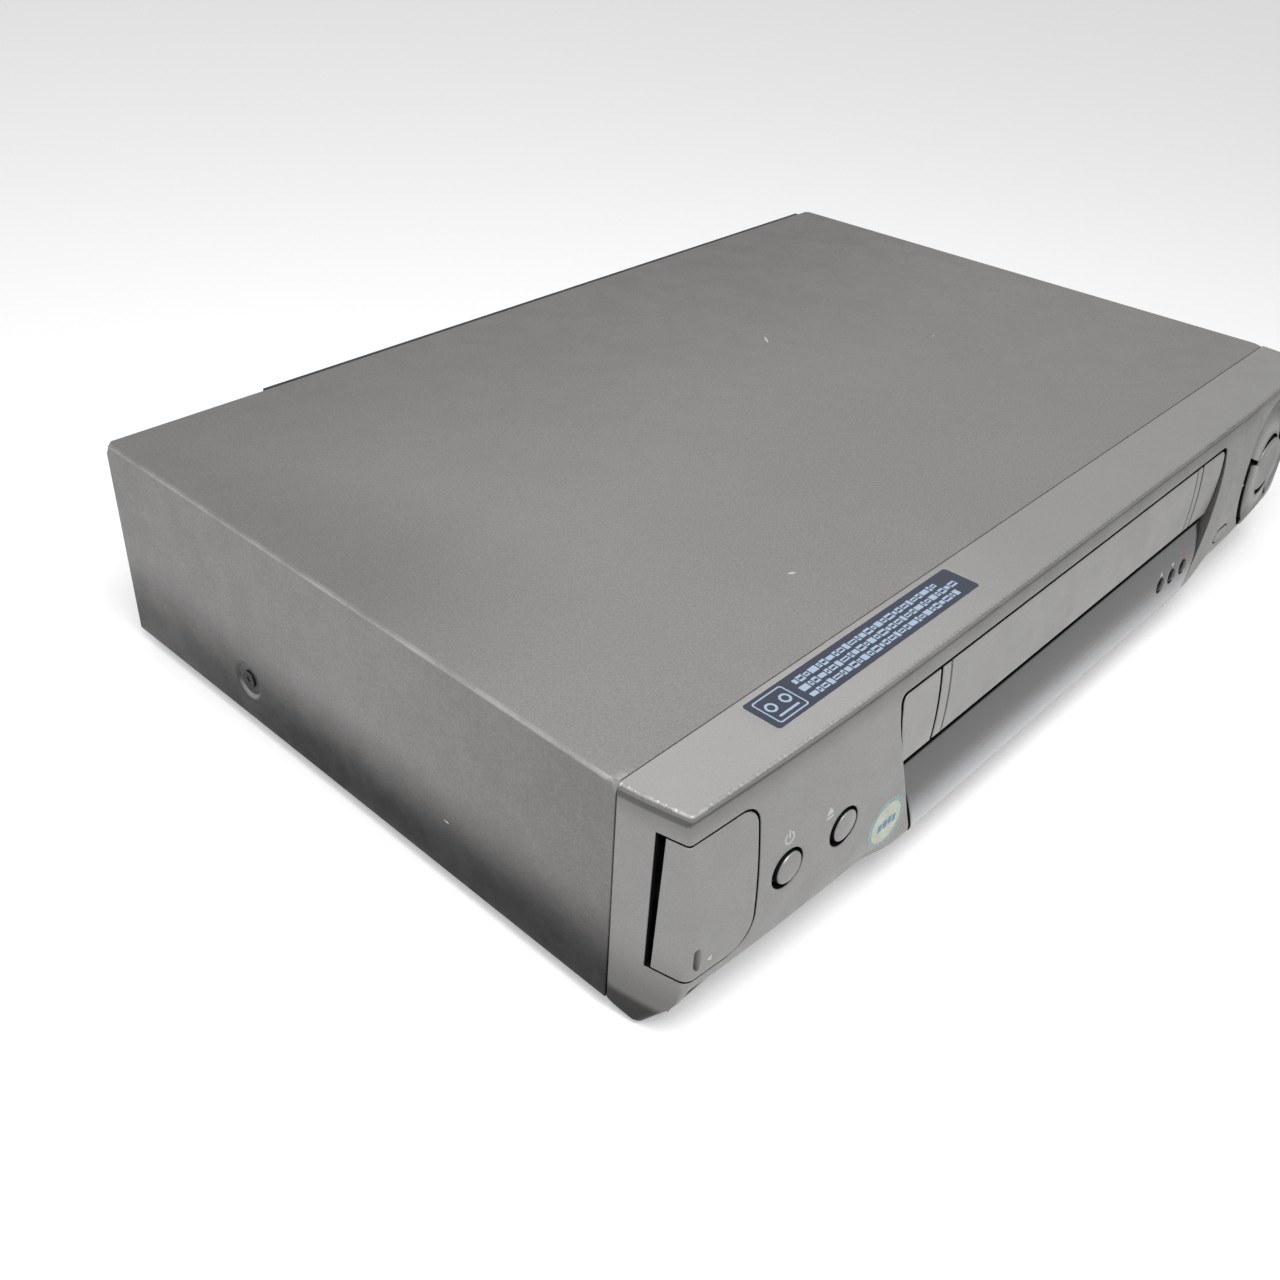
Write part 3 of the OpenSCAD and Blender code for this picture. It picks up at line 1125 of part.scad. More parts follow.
board_plate_t = 1.6;
module board(b) block([b[0][0], b[0][1], board_z], [b[1][0], b[1][1], board_z + board_plate_t]);
parts_z = board_z + board_plate_t;
module chip(x, y, w, d, h) block([x, y, parts_z - 0.01], [x + w, y + d, parts_z + h]);
module can(x, y, r, h) translate([x, y, parts_z - 0.01]) cylinder(r = r, h = h);
module main_circuit_board() color([0.12, 0.34, 0.18]) at_seam() {
    board(right_board);
    for (p = [[122, 20, 22, 22, 3], [160, 30, 30, 14, 3.4], [130, 62, 40, 12, 4], [120, 100, 26, 26,
            3], [165, 90, 14, 34, 4],
        [125, 150, 36, 10, 4], [180, 140, 12, 30, 4], [196, 20, 6, 60, 9]]) chip(board_x(p[0]),
                board_y(p[1]), p[2], p[3], p[4]);
    for (p = [[152, 60], [190, 110], [160, 140], [118, 180], [135, 185], [200,
            160]]) can(board_x(p[0]), board_y(p[1] + 20), 4, 11);
}
module tuner_module() color([0.75, 0.76, 0.76]) at_seam() {
    block([board_edge - 56, plate_y - 64, parts_z], [board_edge - 8, plate_y - 0.2, parts_z + 54]);
    for (z = aerial_rows) {
        y_bar(aerial_x, plate_y - 0.3, z, aerial_r, rear_face - plate_y + 0.3 + phono_out);
        y_bar(aerial_x, plate_y - 0.3, z, aerial_r + aerial_collar, rear_face - plate_y + 0.8);
    }
}
socket_back = rear_face - plate_y + 0.3;
module rear_av_jacks() color([0.8, 0.78, 0.7]) at_seam() {
    for (i = [-1:1]) for (z = av_rows) rotate(180) phono(-av_x + i * phono_pitch, -rear_face, z,
            phono_out, socket_back);
    block([av_x - phono_pitch - 7, rear_face - socket_back - 16, parts_z],
        [av_x + phono_pitch + 7, rear_face - socket_back - 9.9, av_rows[1] + 8]);
}
module power_supply_board() color([0.55, 0.42, 0.2]) at_seam() {
    board(left_board);
    for (p = [[195, 130, 11, 28], [170, 126, 8, 24], [125, 140, 6, 20], [125, 160, 6, 20], [128, 182,
            8, 22]]) can(-board_x(p[0]), p[1], p[2], p[3]);
    block([2 - board_edge, 150, parts_z - 0.01], [5 - board_edge, 210, parts_z + 36]);
    for (i = [0:5]) block([4.99 - board_edge, 152 + 10 * i, parts_z + 2], [12 - board_edge,
            154 + 10 * i, parts_z + 36]);
    chip(-board_x(160), 205, 30, 14, 16);
}
module power_transformer() color([0.75, 0.6, 0.25]) at_seam() {
    block([-board_x(180), 150, parts_z], [-board_x(140), 186, parts_z + 6]);
    block([4 - board_x(180), 154, parts_z + 5.99], [-board_x(140) - 4, 182, parts_z + 30]);
    block([-board_x(180), 160, parts_z + 5.99], [-board_x(140), 176, parts_z + 34]);
}
inlet_depth = 16;
module ac_inlet() color([0.06, 0.06, 0.06]) at_seam() translate([inlet_x, 0, inlet_z]) {
    difference() {
        union() {
            along_y(plate_y - inlet_depth + 3, plate_y + 2.3) stadium(inlet_w + 6, inlet_h + 6);
            along_y(plate_y - inlet_depth + 6, plate_y - 0.1) square([inlet_w + 12, inlet_h + 8],
                    center = true);
            block([-6, plate_y - inlet_depth + 3, parts_z - inlet_z], [6, plate_y - 4, -5]);
        }
        along_y(plate_y - inlet_depth + 6, plate_y + 3) stadium(inlet_w, inlet_h);
    }
    for (x = [-4.3, 4.3]) y_bar(x, plate_y - inlet_depth + 5, 0, 1.2, 10);
}

top_cover();
cover_screws();
base_chassis();
feet();
rear_panel();
front_panel();
left_trim();
right_trim();
cassette_door();
door_spring();
display_window();
display_tube();
front_frame();
front_circuit_board();
av_flap();
jack_pocket();
front_av_jacks();
power_button();
eject_button();
channel_down_button();
channel_up_button();
record_button();
timer_button();
play_button();
rewind_button();
stop_button();
fast_forward_button();
pause_button();
deck_plate();
side_frames();
carriage_slider();
cassette_basket();
supply_reel();
takeup_reel();
reel_shafts();
idler_arm();
idler_wheel();
lower_drum();
upper_drum();
capstan();
capstan_motor();
drive_belt();
clutch_pulley();
pinch_arm();
pinch_roller();
supply_guide();
takeup_guide();
tension_arm();
cam_gear();
loading_pinion();
loading_motor();
erase_head();
audio_control_head();
main_circuit_board();
tuner_module();
rear_av_jacks();
power_supply_board();
power_transformer();
ac_inlet();
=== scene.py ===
"""Looks, camera and light of the video cassette recorder, over the shared frame.

Forms are drawn in millimetres: y is 0 at the seam behind the front panel and s is the depth below the top.
Shading, camera and lamps are in metres.
"""
import math

import bpy
import numpy as np
from mathutils import Matrix, Vector
from mathutils.geometry import delaunay_2d_cdt


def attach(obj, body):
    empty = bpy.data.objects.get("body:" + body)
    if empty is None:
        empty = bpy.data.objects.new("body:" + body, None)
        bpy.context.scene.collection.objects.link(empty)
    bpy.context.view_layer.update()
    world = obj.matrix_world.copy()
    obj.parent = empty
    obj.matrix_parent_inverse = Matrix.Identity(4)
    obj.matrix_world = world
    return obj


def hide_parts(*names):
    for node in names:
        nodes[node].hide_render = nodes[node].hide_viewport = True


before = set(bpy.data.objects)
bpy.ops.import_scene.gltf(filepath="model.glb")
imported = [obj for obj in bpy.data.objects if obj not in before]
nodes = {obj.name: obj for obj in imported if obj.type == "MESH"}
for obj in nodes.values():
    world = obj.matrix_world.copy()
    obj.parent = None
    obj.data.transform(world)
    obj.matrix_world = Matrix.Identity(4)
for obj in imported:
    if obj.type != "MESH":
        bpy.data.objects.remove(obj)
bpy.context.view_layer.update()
scene = bpy.context.scene

TOP = 87.0  # height of the cover's top
SEAM = -120.4  # y of the seam in the shared frame
FEET = 5.0  # height of the feet
BOARD_Y = -15.0  # where the keys' stems end, at their switches
PAD_BACK = -20.2  # back of the round cluster's pads
FOREMOST = -29.3  # the key caps stay behind this y

# The middles of the keys, along x and down from the top. CX, CS is the middle of the round cluster.
CX, CS = 178.0, 37.5
POWER, EJECT = (-171.3, 41.0), (-145.5, 41.3)
TIMER_X, TIMER_S = 135.0, 55.0
DOTS, DOT_S = (("channel_down", 76), ("channel_up", 86.5), ("record", 97)), 55.5


def row(points):
    """Points in the shared frame, in metres."""
    q = np.asarray(points, float)
    return np.stack([q[..., 0], q[..., 1] + SEAM, q[..., 2]], -1) * 0.001


# ---- camera

# The photo's camera: degrees round, up and of roll, and its place.
AROUND, ABOVE, ROLL = -47.53, 33.84, 2.4
EYE = (-0.4031, -0.2867, 0.3101)


def look():
    a, e, r = (math.radians(v) for v in (AROUND, ABOVE, ROLL))
    back = Vector((math.sin(a) * math.cos(e), -math.cos(a) * math.cos(e), math.sin(e)))
    right = (-back).cross(Vector((0, 0, 1))).normalized()
    up = right.cross(-back)
    x = right * math.cos(r) + up * math.sin(r)
    y = up * math.cos(r) - right * math.sin(r)
    m = Matrix((x, y, back)).transposed().to_4x4()
    m.translation = Vector(EYE)
    return m


cam_data = bpy.data.cameras.new("camera")
cam_data.sensor_width = 36.0
cam_data.lens = 36.74
cam_data.shift_x = 0.0259
cam_data.shift_y = -0.0273
cam_data.clip_start = 0.01
cam = bpy.data.objects.new("camera", cam_data)
scene.collection.objects.link(cam)
cam.matrix_world = look()
scene.camera = cam
scene.view_settings.view_transform = "Standard"


# ---- materials

# Place, turn, half length and half width of the scratches in the cover's paint.
SCRATCHES = [((0.047, 0.036, 0.087), 0.9, 0.0042, 0.0007), ((-0.101, -0.090, 0.087), -0.5, 0.0018, 0.0006),
             ((-0.215, -0.051, 0.027), 1.57, 0.0016, 0.0005), ((0.108, -0.012, 0.087), 0.3, 0.0012, 0.0004)]
RELIEF = 0.00006  # height of the grain in metres
WORN = 0.5  # how much of the bare tone shows at a worn edge
TRACK = 0.16  # half width of a copper track, as a share of its cell


class Nodes:
    """Short calls for building a node tree."""

    def __init__(self, tree):
        self.tree = tree

    def new(self, kind, inputs=None, **props):
        n = self.tree.nodes.new(kind)
        for key, value in props.items():
            setattr(n, key, value)
        for key, value in (inputs or {}).items():
            self.put(n, key, value)
        return n

    def put(self, n, key, value):
        socket = n.inputs[key]
        if isinstance(value, bpy.types.NodeSocket):
            self.tree.links.new(value, socket)
        else:
            socket.default_value = value

    def noise(self, coords, scale, detail=3.0, rough=0.55, warp=0.0):
        return self.new("ShaderNodeTexNoise", {"Vector": coords, "Scale": scale, "Detail": detail,
                                               "Roughness": rough, "Distortion": warp}).outputs["Fac"]

    def ramp(self, value, low, high, a=0.0, b=1.0):
        """Goes smoothly from a at low to b at high."""
        return self.new("ShaderNodeMapRange", {"Value": value, "From Min": low, "From Max": high, "To Min": a,
                                               "To Max": b}, interpolation_type="SMOOTHSTEP").outputs[0]

    def math(self, op, a, b=0.0):
        return self.new("ShaderNodeMath", {0: a, 1: b}, operation=op).outputs[0]

    def times(self, a, b):
        return self.math("MULTIPLY", a, b)

    def mix(self, t, a, b):
        n = self.new("ShaderNodeMix", {0: t}, data_type="RGBA")
        for key, value in ((6, a), (7, b)):
            self.put(n, key, value if isinstance(value, bpy.types.NodeSocket) else (*value, 1.0))
        return n.outputs[2]

    def axes(self, vector):
        return self.new("ShaderNodeSeparateXYZ", {0: vector}).outputs

    def facing(self):
        """The x, y and z of the surface's normal."""
        return self.axes(self.new("ShaderNodeNewGeometry").outputs["Normal"])

    def reach(self, coords, place, size, turn=0.0):
        """Distance from a place, counted in its size along each axis."""
        local = self.new("ShaderNodeMapping", {"Vector": coords, "Location": place, "Rotation": (0, 0, turn),
                                               "Scale": size}, vector_type="TEXTURE").outputs[0]
        return self.new("ShaderNodeVectorMath", {0: local}, operation="LENGTH").outputs["Value"]


def srgb(r, g, b):
    return tuple((c / 255 / 12.92) if c <= 10 else ((c / 255 + 0.055) / 1.055) ** 2.4 for c in (r, g, b))


def shade(colour, k):
    return tuple(min(1.0, c * k) for c in colour)


def make(name, colour, grain, contrast, rough, patch=12.0, patchy=0.05, uneven=0.08, bump=0.15,
         metallic=0.0, ior=1.45, wear=None, bevel=0.0004, streaks=None, dust=None, extra=None, spec=0.5):
    """A painted, moulded or bare surface: fine grain, broad patches, uneven gloss and soft edges, which are
    worn where wear gives their tone. With bevel=0 the edges stay as the mesh has them."""
    colour = srgb(*colour)
    mat = bpy.data.materials.new(name)
    mat.use_nodes = True
    t = Nodes(mat.node_tree)
    coords = t.new("ShaderNodeTexCoord").outputs["Object"]
    fine = t.noise(coords, grain, 4.0, 0.6)
    broad = t.noise(coords, patch, 3.0, 0.5)
    tone = t.mix(t.ramp(fine, 0.3, 0.7), shade(colour, 1 - contrast), shade(colour, 1 + contrast))
    pale = t.mix(t.ramp(broad, 0.3, 0.7), shade(colour, 1 - patchy), shade(colour, 1 + patchy))
    tone = t.mix(0.5, tone, pale)
    gloss = t.ramp(t.noise(coords, patch * 6, 4.0, 0.6), 0.3, 0.7, rough - uneven, rough + uneven)
    lift = fine
    if streaks:
        direction, scale = streaks
        stretched = t.new("ShaderNodeMapping", {"Vector": coords, "Scale": direction}).outputs[0]
        lines = t.noise(stretched, scale, 3.0, 0.7)
        lift = t.math("ADD", t.times(fine, 0.3), t.times(lines, 0.7))
        tone = t.mix(t.ramp(lines, 0.3, 0.7), shade(colour, 0.9), tone)
    normal = t.new("ShaderNodeNewGeometry").outputs["Normal"]
    rounded = t.new("ShaderNodeBevel", {"Radius": bevel}, samples=4).outputs[0] if bevel else normal
    if wear is not None:
        same = t.new("ShaderNodeVectorMath", {0: rounded, 1: normal}, operation="DOT_PRODUCT")
        edge = t.ramp(same.outputs["Value"], 0.995, 0.9)
        rubbed = t.times(edge, t.ramp(t.noise(coords, 90.0, 5.0, 0.7), 0.4, 0.65))
        tone = t.mix(t.times(rubbed, WORN), tone, srgb(*wear))
    if dust is not None:
        specks = t.ramp(t.noise(coords, 700.0, 2.0, 0.5), 0.69, 0.74)
        tone = t.mix(t.times(specks, 0.35), tone, srgb(*dust))
    if extra:
        tone, gloss, lift = extra(t, coords, tone, gloss, lift)
    bumped = t.new("ShaderNodeBump", {"Strength": bump, "Distance": RELIEF, "Height": lift,
                                      "Normal": rounded})
    shader = mat.node_tree.nodes["Principled BSDF"]
    for key, value in (("Metallic", metallic), ("IOR", ior), ("Specular IOR Level", spec),
                       ("Base Color", tone), ("Roughness", gloss), ("Normal", bumped.outputs[0])):
        t.put(shader, key, value)
    return mat


def cover_marks_and_painted_light(t, coords, tone, gloss, lift):
    """The cover's paint: worn folds with a painted highlight, painted shade on the top's back and the sides'
    front and foot, wipes, scratches.
    """
    x, y, z = t.axes(coords)
    up = t.facing()[2]
    upright = t.ramp(up, 0.5, 0.1)
    # Pale folds: worn paint broken up by noise, and a painted highlight along the fold.
    fold_wear_and_highlight = t.times(t.ramp(z, 0.0857, 0.0862), t.ramp(t.math("ABSOLUTE", x), 0.2136, 0.2140))
    rubbed = t.ramp(t.noise(coords, 45.0, 4.0, 0.7), 0.3, 0.65, 0.05, 0.4)
    tone = t.mix(t.times(fold_wear_and_highlight, rubbed), tone, srgb(196, 194, 192))
    # Painted shade on the top: darker towards the back, and at the left.
    left = t.times(t.ramp(x, -0.13, -0.21), t.ramp(y, -0.09, 0.01))
    far = t.math("MAXIMUM", t.ramp(y, -0.02, 0.16), left)
    tone = t.mix(t.times(far, t.ramp(up, 0.5, 0.9, 0.0, 0.27)), tone, srgb(30, 30, 30))
    # Painted shade on the sides: darker towards the front.
    side_front_shade = t.times(t.ramp(y, -0.01, -0.13, 0.0, 0.2), upright)
    tone = t.mix(side_front_shade, tone, srgb(30, 30, 30))
    # Painted shade low on the sides, strongest towards the front.
    low = t.times(t.ramp(z, 0.0475, 0.0135), upright)
    low = t.times(low, t.ramp(y, 0.13, 0.02, 0.72, 1.0))
    tone = t.mix(t.times(low, 0.97), tone, srgb(15, 13, 12))
    wipes = t.new("ShaderNodeMapping", {"Vector": coords, "Scale": (1.0, 0.25, 1.0),
                                        "Rotation": (0, 0, 0.5)}).outputs[0]
    wiped = t.ramp(t.noise(wipes, 14.0, 5.0, 0.6, 1.2), 0.5, 0.7)
    gloss = t.math("ADD", gloss, t.times(wiped, 0.07))
    for place, turn, length, width in SCRATCHES:
        reach = t.reach(coords, place, (length, width, width), turn)
        hit = t.times(t.ramp(reach, 1.0, 0.4), t.ramp(t.noise(coords, 2500.0, 2.0), 0.3, 0.55))
        tone = t.mix(hit, tone, srgb(226, 222, 218))
    return tone, gloss, lift


def painted_shade_and_highlights(t, coords, tone, gloss, lift):
    """Painted shade under the moulding's corners, below its lip and in its hollows; painted highlights on its
    strip, lip and crest.
    """
    x, _, z = t.axes(coords)
    turned = t.facing()
    # Painted highlights on the strip at the top and on the lip's edge, and a painted shadow below the lip.
    strip_highlight = t.times(t.ramp(turned[2], 0.8, 0.95, 0.0, 0.17), t.ramp(x, 0.0, -0.17))
    tone = t.mix(strip_highlight, tone, srgb(208, 207, 205))
    lip = t.times(t.ramp(z, 0.0862, 0.0865), t.ramp(z, 0.08698, 0.0868))
    lip = t.times(lip, t.ramp(t.noise(coords, 30.0, 2.0, 0.5), 0.3, 0.7, 0.25, 0.45))
    lip = t.times(lip, t.ramp(x, -0.11, -0.19, 0.25, 1.0))
    tone = t.mix(lip, tone, srgb(206, 205, 204))
    # Painted shadow: a dark line under the lip and a soft fall-off below it.
    below = t.times(t.ramp(z, 0.0856, 0.0851), t.ramp(z, 0.0820, 0.0836))
    soft = t.ramp(z, 0.0745, 0.0855, 0.0, 0.34)
    below = t.times(t.math("MAXIMUM", t.times(below, 0.72), soft), t.ramp(turned[2], 0.5, 0.2))
    tone = t.mix(below, tone, srgb(40, 39, 38))
    # Painted shade on the right wall of the recess.
    hollow = t.times(t.ramp(turned[0], -0.45, -0.75), t.ramp(x, 0.09, 0.095))
    hollow = t.times(hollow, t.ramp(x, 0.1235, 0.122))
    tone = t.mix(t.times(hollow, 0.85), tone, srgb(58, 57, 56))
    # Painted shade in the flap's finger notch.
    notch_shade = t.reach(coords, (-0.2064, -0.148, 0.0345), (0.0015, 0.02, 0.0046))
    notch_shade = t.times(t.ramp(notch_shade, 1.0, 0.85), t.ramp(x, -0.2072, -0.2049, 0.95, 0.3))
    tone = t.mix(notch_shade, tone, srgb(36, 35, 34))
    # The round cluster: painted shade towards its rim, a painted highlight on its crest.
    ring = t.reach(coords, (CX / 1000, 0.0, (TOP - CS) / 1000), (1.0, 1000.0, 1.0))
    rim = t.times(t.ramp(ring, 0.0185, 0.0262), t.ramp(ring, 0.0290, 0.0287))
    tone = t.mix(t.times(rim, 0.72), tone, srgb(50, 49, 48))
    crest_highlight = t.times(t.ramp(ring, 0.0150, 0.0154), t.ramp(ring, 0.0200, 0.0170, 0.0, 0.35))
    tone = t.mix(crest_highlight, tone, srgb(204, 203, 202))
    # Painted shade at the lower corners and low on the ends.
    end = t.math("ABSOLUTE", x)
    low = t.times(t.ramp(z, 0.0155, 0.0085), t.ramp(end, 0.1995, 0.203))
    under = t.times(t.ramp(z, 0.014, 0.0118), t.ramp(end, 0.2036, 0.2048))
    low = t.math("MAXIMUM", low, t.times(under, t.ramp(end, 0.211, 0.2085)))
    flank_shade = t.times(t.ramp(z, 0.04, 0.008, 0.0, 0.55), t.ramp(end, 0.2095, 0.2105))
    low = t.math("MAXIMUM", low, flank_shade)
    return t.mix(t.times(low, 0.97), tone, srgb(22, 18, 17)), gloss, lift


def door_groove_shade(t, coords, tone, gloss, lift):
    """Painted shade in the two grooves of the cassette door."""
    off = t.math("ABSOLUTE", t.math("SUBTRACT", t.math("ABSOLUTE", t.axes(coords)[0]), 0.091))
    return t.mix(t.ramp(off, 0.0008, 0.0003, 0.0, 0.75), tone, srgb(48, 47, 46)), gloss, lift


def window_reflection_and_smears(t, coords, tone, gloss, lift):
    """A painted reflection that pales the window's lower part, and smears on its gloss."""
    # Painted reflection: the window pales towards its foot.
    tone = t.mix(t.ramp(t.axes(coords)[2], 0.036, 0.013), tone, srgb(204, 205, 208))
    smear = t.new("ShaderNodeMapping", {"Vector": coords, "Scale": (0.3, 1.0, 1.0)}).outputs[0]
    haze = t.ramp(t.noise(smear, 40.0, 6.0, 0.65, 0.8), 0.42, 0.75, 0.0, 0.14)
    return tone, t.math("ADD", gloss, haze), lift


def tracks(copper):
    """Printed circuit: solder mask over copper tracks, with their relief."""
    def paint(t, coords, tone, gloss, _):
        cells = t.new("ShaderNodeTexVoronoi", {"Vector": coords, "Scale": 260.0, "Randomness": 0.35},
                      feature="DISTANCE_TO_EDGE", distance="MINKOWSKI")
        run = t.ramp(cells.outputs["Distance"], TRACK, TRACK * 1.4)
        dots = t.new("ShaderNodeTexVoronoi", {"Vector": coords, "Scale": 420.0, "Randomness": 0.2})
        pads = t.ramp(dots.outputs["Distance"], 0.2, 0.14)
        tone = t.mix(run, copper, tone)
        tone = t.mix(pads, tone, srgb(190, 188, 180))
        return tone, gloss, run
    return paint


M = {
    "cover": make("cover_paint", (138, 136, 135), 1300, 0.22, 0.46, bump=0.22, metallic=0.4, patchy=0.04,
                  extra=cover_marks_and_painted_light, bevel=0),
    "silver": make("silver_plastic", (148, 147, 145), 1700, 0.12, 0.38, bump=0.12, metallic=0.35,
                   extra=painted_shade_and_highlights, bevel=0),
    "door": make("door_silver", (158, 157, 155), 1900, 0.07, 0.36, bump=0.06, metallic=0.35, extra=door_groove_shade,
                 bevel=0),
    "window": make("window_smoke", (26, 27, 31), 900, 0.04, 0.07, uneven=0.02, bump=0.01, ior=1.75,
                   spec=0.8, extra=window_reflection_and_smears, bevel=0),
    # Flat black on the walls of gaps and holes and on sheets behind them: painted shade.
    "gap": make("painted_shade_black", (12, 12, 13), 2000, 0.2, 0.8, spec=0.2, bevel=0),
    "label": make("label_navy", (48, 54, 67), 1200, 0.06, 0.3, bump=0.04, bevel=0, dust=(96, 102, 112)),
    "label_ink": make("label_ink", (150, 168, 188), 2600, 0.1, 0.35, bevel=0),
    "print": make("print_pale", (196, 199, 196), 3000, 0.14, 0.45, bevel=0),
    "print_red": make("print_red", (176, 88, 78), 3000, 0.14, 0.45, bevel=0),
    "sticker": make("sticker_teal", (134, 158, 158), 900, 0.12, 0.3, patch=160, patchy=0.14,
                    bump=0.06, bevel=0),
    "sticker_mid": make("sticker_cream", (190, 197, 178), 900, 0.08, 0.3, patch=220, patchy=0.16, bump=0.06,
                        bevel=0),
    "sticker_ink": make("sticker_ink", (84, 132, 168), 1800, 0.15, 0.35, bevel=0),
    "chassis": make("chassis_black", (48, 48, 50), 900, 0.2, 0.5, metallic=0.3, wear=(150, 150, 150),
                    dust=(120, 118, 112)),
    "screw": make("screw_black", (40, 40, 42), 3000, 0.15, 0.35, metallic=0.8, wear=(150, 148, 144)),
    "rubber": make("rubber", (26, 26, 27), 2400, 0.2, 0.75, bump=0.3, dust=(88, 86, 82)),
    "black": make("black_plastic", (30, 30, 32), 2200, 0.25, 0.55, bump=0.35, wear=(78, 78, 80),
                  dust=(96, 94, 90)),
    "key_black": make("key_black", (13, 13, 14), 2600, 0.1, 0.22, spec=0.18, bump=0.03, bevel=0),
    "spring": make("spring_steel", (170, 170, 172), 4000, 0.1, 0.25, metallic=1.0),
    "tube": make("tube_glass", (38, 52, 50), 500, 0.08, 0.08, ior=1.5, bump=0.01),
    "jack": make("jack_metal", (198, 192, 172), 3000, 0.1, 0.25, metallic=1.0, wear=(228, 224, 214)),
    "plated": make("plated_steel", (176, 176, 170), 1800, 0.14, 0.34, metallic=0.9,
                   streaks=((1.0, 12.0, 12.0), 90.0), dust=(150, 146, 136)),
    "dark_steel": make("dark_steel", (84, 84, 86), 1800, 0.16, 0.4, metallic=0.8, wear=(168, 168, 168)),
    "white": make("white_plastic", (222, 220, 212), 1600, 0.05, 0.42, bump=0.08, dust=(150, 146, 138)),
    "polished": make("polished_steel", (206, 208, 210), 3200, 0.06, 0.14, metallic=1.0,
                     streaks=((18.0, 18.0, 1.0), 120.0), bump=0.05),
    "drum": make("drum_alloy", (196, 199, 202), 3000, 0.06, 0.2, metallic=1.0,
                 streaks=((1.0, 1.0, 30.0), 160.0), bump=0.08),
    "head": make("head_metal", (176, 176, 180), 2600, 0.1, 0.22, metallic=1.0),
    "core": make("transformer_core", (92, 88, 84), 1400, 0.2, 0.5, metallic=0.6,
                 streaks=((1.0, 1.0, 40.0), 90.0), wear=(150, 120, 80)),
    "green": make("board_green", (34, 92, 56), 1600, 0.1, 0.35, extra=tracks(srgb(52, 120, 74))),
    "brown": make("board_brown", (168, 128, 70), 1600, 0.12, 0.45, extra=tracks(srgb(128, 92, 46))),
}

DRESS = {
    "cover": "top_cover",
    "screw": "cover_screws",
    "chassis": "base_chassis",
    "rubber": "feet idler_wheel drive_belt pinch_roller",
    "black": "rear_panel front_frame jack_pocket ac_inlet rear_av_jacks idler_arm pinch_arm carriage_slider",
    "silver": "front_panel av_flap power_button eject_button timer_button play_button rewind_button "
              "stop_button fast_forward_button pause_button",
    "door": "left_trim right_trim cassette_door",
    "window": "display_window",
    "spring": "door_spring",
    "tube": "display_tube",
    "jack": "front_av_jacks",
    "key_black": "channel_down_button channel_up_button record_button",
    "plated": "deck_plate side_frames cassette_basket tuner_module tension_arm",
    "white": "supply_reel takeup_reel clutch_pulley cam_gear loading_pinion",
    "polished": "reel_shafts capstan supply_guide takeup_guide",
    "drum": "upper_drum lower_drum",
    "dark_steel": "capstan_motor loading_motor",
    "head": "erase_head audio_control_head",
    "core": "power_transformer",
    "green": "front_circuit_board main_circuit_board",
    "brown": "power_supply_board",
}
for key, names in DRESS.items():
    for name in names.split():
        for slot in nodes[name].material_slots:
            slot.material = M[key]


# ---- meshes

class Piece:
    """A mesh that is put together from several forms."""

    def __init__(self, name):
        self.name = name
        self.v, self.f, self.m = [], [], []

    def add(self, form, mat=0, wall=None):
        """mat and wall are the materials of the form and of its marked edges."""
        verts, faces, marks = (*form, [False] * len(form[1]))[:3]
        wall = mat if wall is None else wall
        base = len(self.v)
        self.v.extend(tuple(p) for p in np.asarray(verts, float))
        self.f.extend(tuple(i + base for i in f) for f in faces)
        self.m.extend(wall if marked else mat for marked in marks)

    def build(self, body, mats, slot, replaces=(), sharp=38):
        mesh = bpy.data.meshes.new(self.name)
        mesh.from_pydata([tuple(p) for p in row(self.v)], [], self.f)
        mesh.polygons.foreach_set("material_index", self.m)
        mesh.polygons.foreach_set("use_smooth", [True] * len(self.f))
        for mat in mats:
            mesh.materials.append(M[mat])
        mesh.update()
        ob = bpy.data.objects.new(self.name, mesh)
        scene.collection.objects.link(ob)
        mesh.set_sharp_from_angle(angle=math.radians(sharp))
        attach(ob, body)
        if replaces:
            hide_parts(*replaces)


def area(loop):
    x, y = loop[:, 0], loop[:, 1]
    return 0.5 * np.sum(x * np.roll(y, -1) - np.roll(x, -1) * y)


def dense(loop, step):
    """The loop with points no further apart than step."""
    loop = np.asarray(loop, float)
    out = []
    for a, b in zip(loop, np.roll(loop, -1, 0)):
        n = max(1, int(math.ceil(np.hypot(*(b - a)) / step)))
        out.extend(a + (b - a) * k / n for k in range(n))
    return np.array(out)


def offset(loop, d):
    """The loop moved to its left by d."""
    ahead = np.roll(loop, -1, 0) - loop
    ahead /= np.maximum(1e-9, np.hypot(ahead[:, 0], ahead[:, 1]))[:, None]
    left = np.stack([-ahead[:, 1], ahead[:, 0]], 1)
    both = left + np.roll(left, 1, 0)
    both /= np.maximum(1e-9, np.hypot(both[:, 0], both[:, 1]))[:, None]
    lean = np.clip(np.sum(both * left, 1), 0.6, 1.0)
    return loop + both * (d / lean)[:, None]


def near(points, loops):
    """Distance from each point to the nearest loop, and which loop that is."""
    best = np.full(len(points), 1e9)
    which = np.zeros(len(points), int)
    for k, loop in enumerate(loops):
        d = np.roll(loop, -1, 0) - loop
        dd = np.maximum(1e-12, np.sum(d * d, 1))
        for lo in range(0, len(points), 4000):
            p = points[lo:lo + 4000]
            w = p[:, None, :] - loop[None]
            t = np.clip(np.sum(w * d[None], 2) / dd[None], 0, 1)
            r = w - t[..., None] * d[None]
            dist = np.sqrt(np.min(np.sum(r * r, 2), 1))
            sel = dist < best[lo:lo + 4000]
            best[lo:lo + 4000][sel] = dist[sel]
            which[lo:lo + 4000][sel] = k
    return best, which


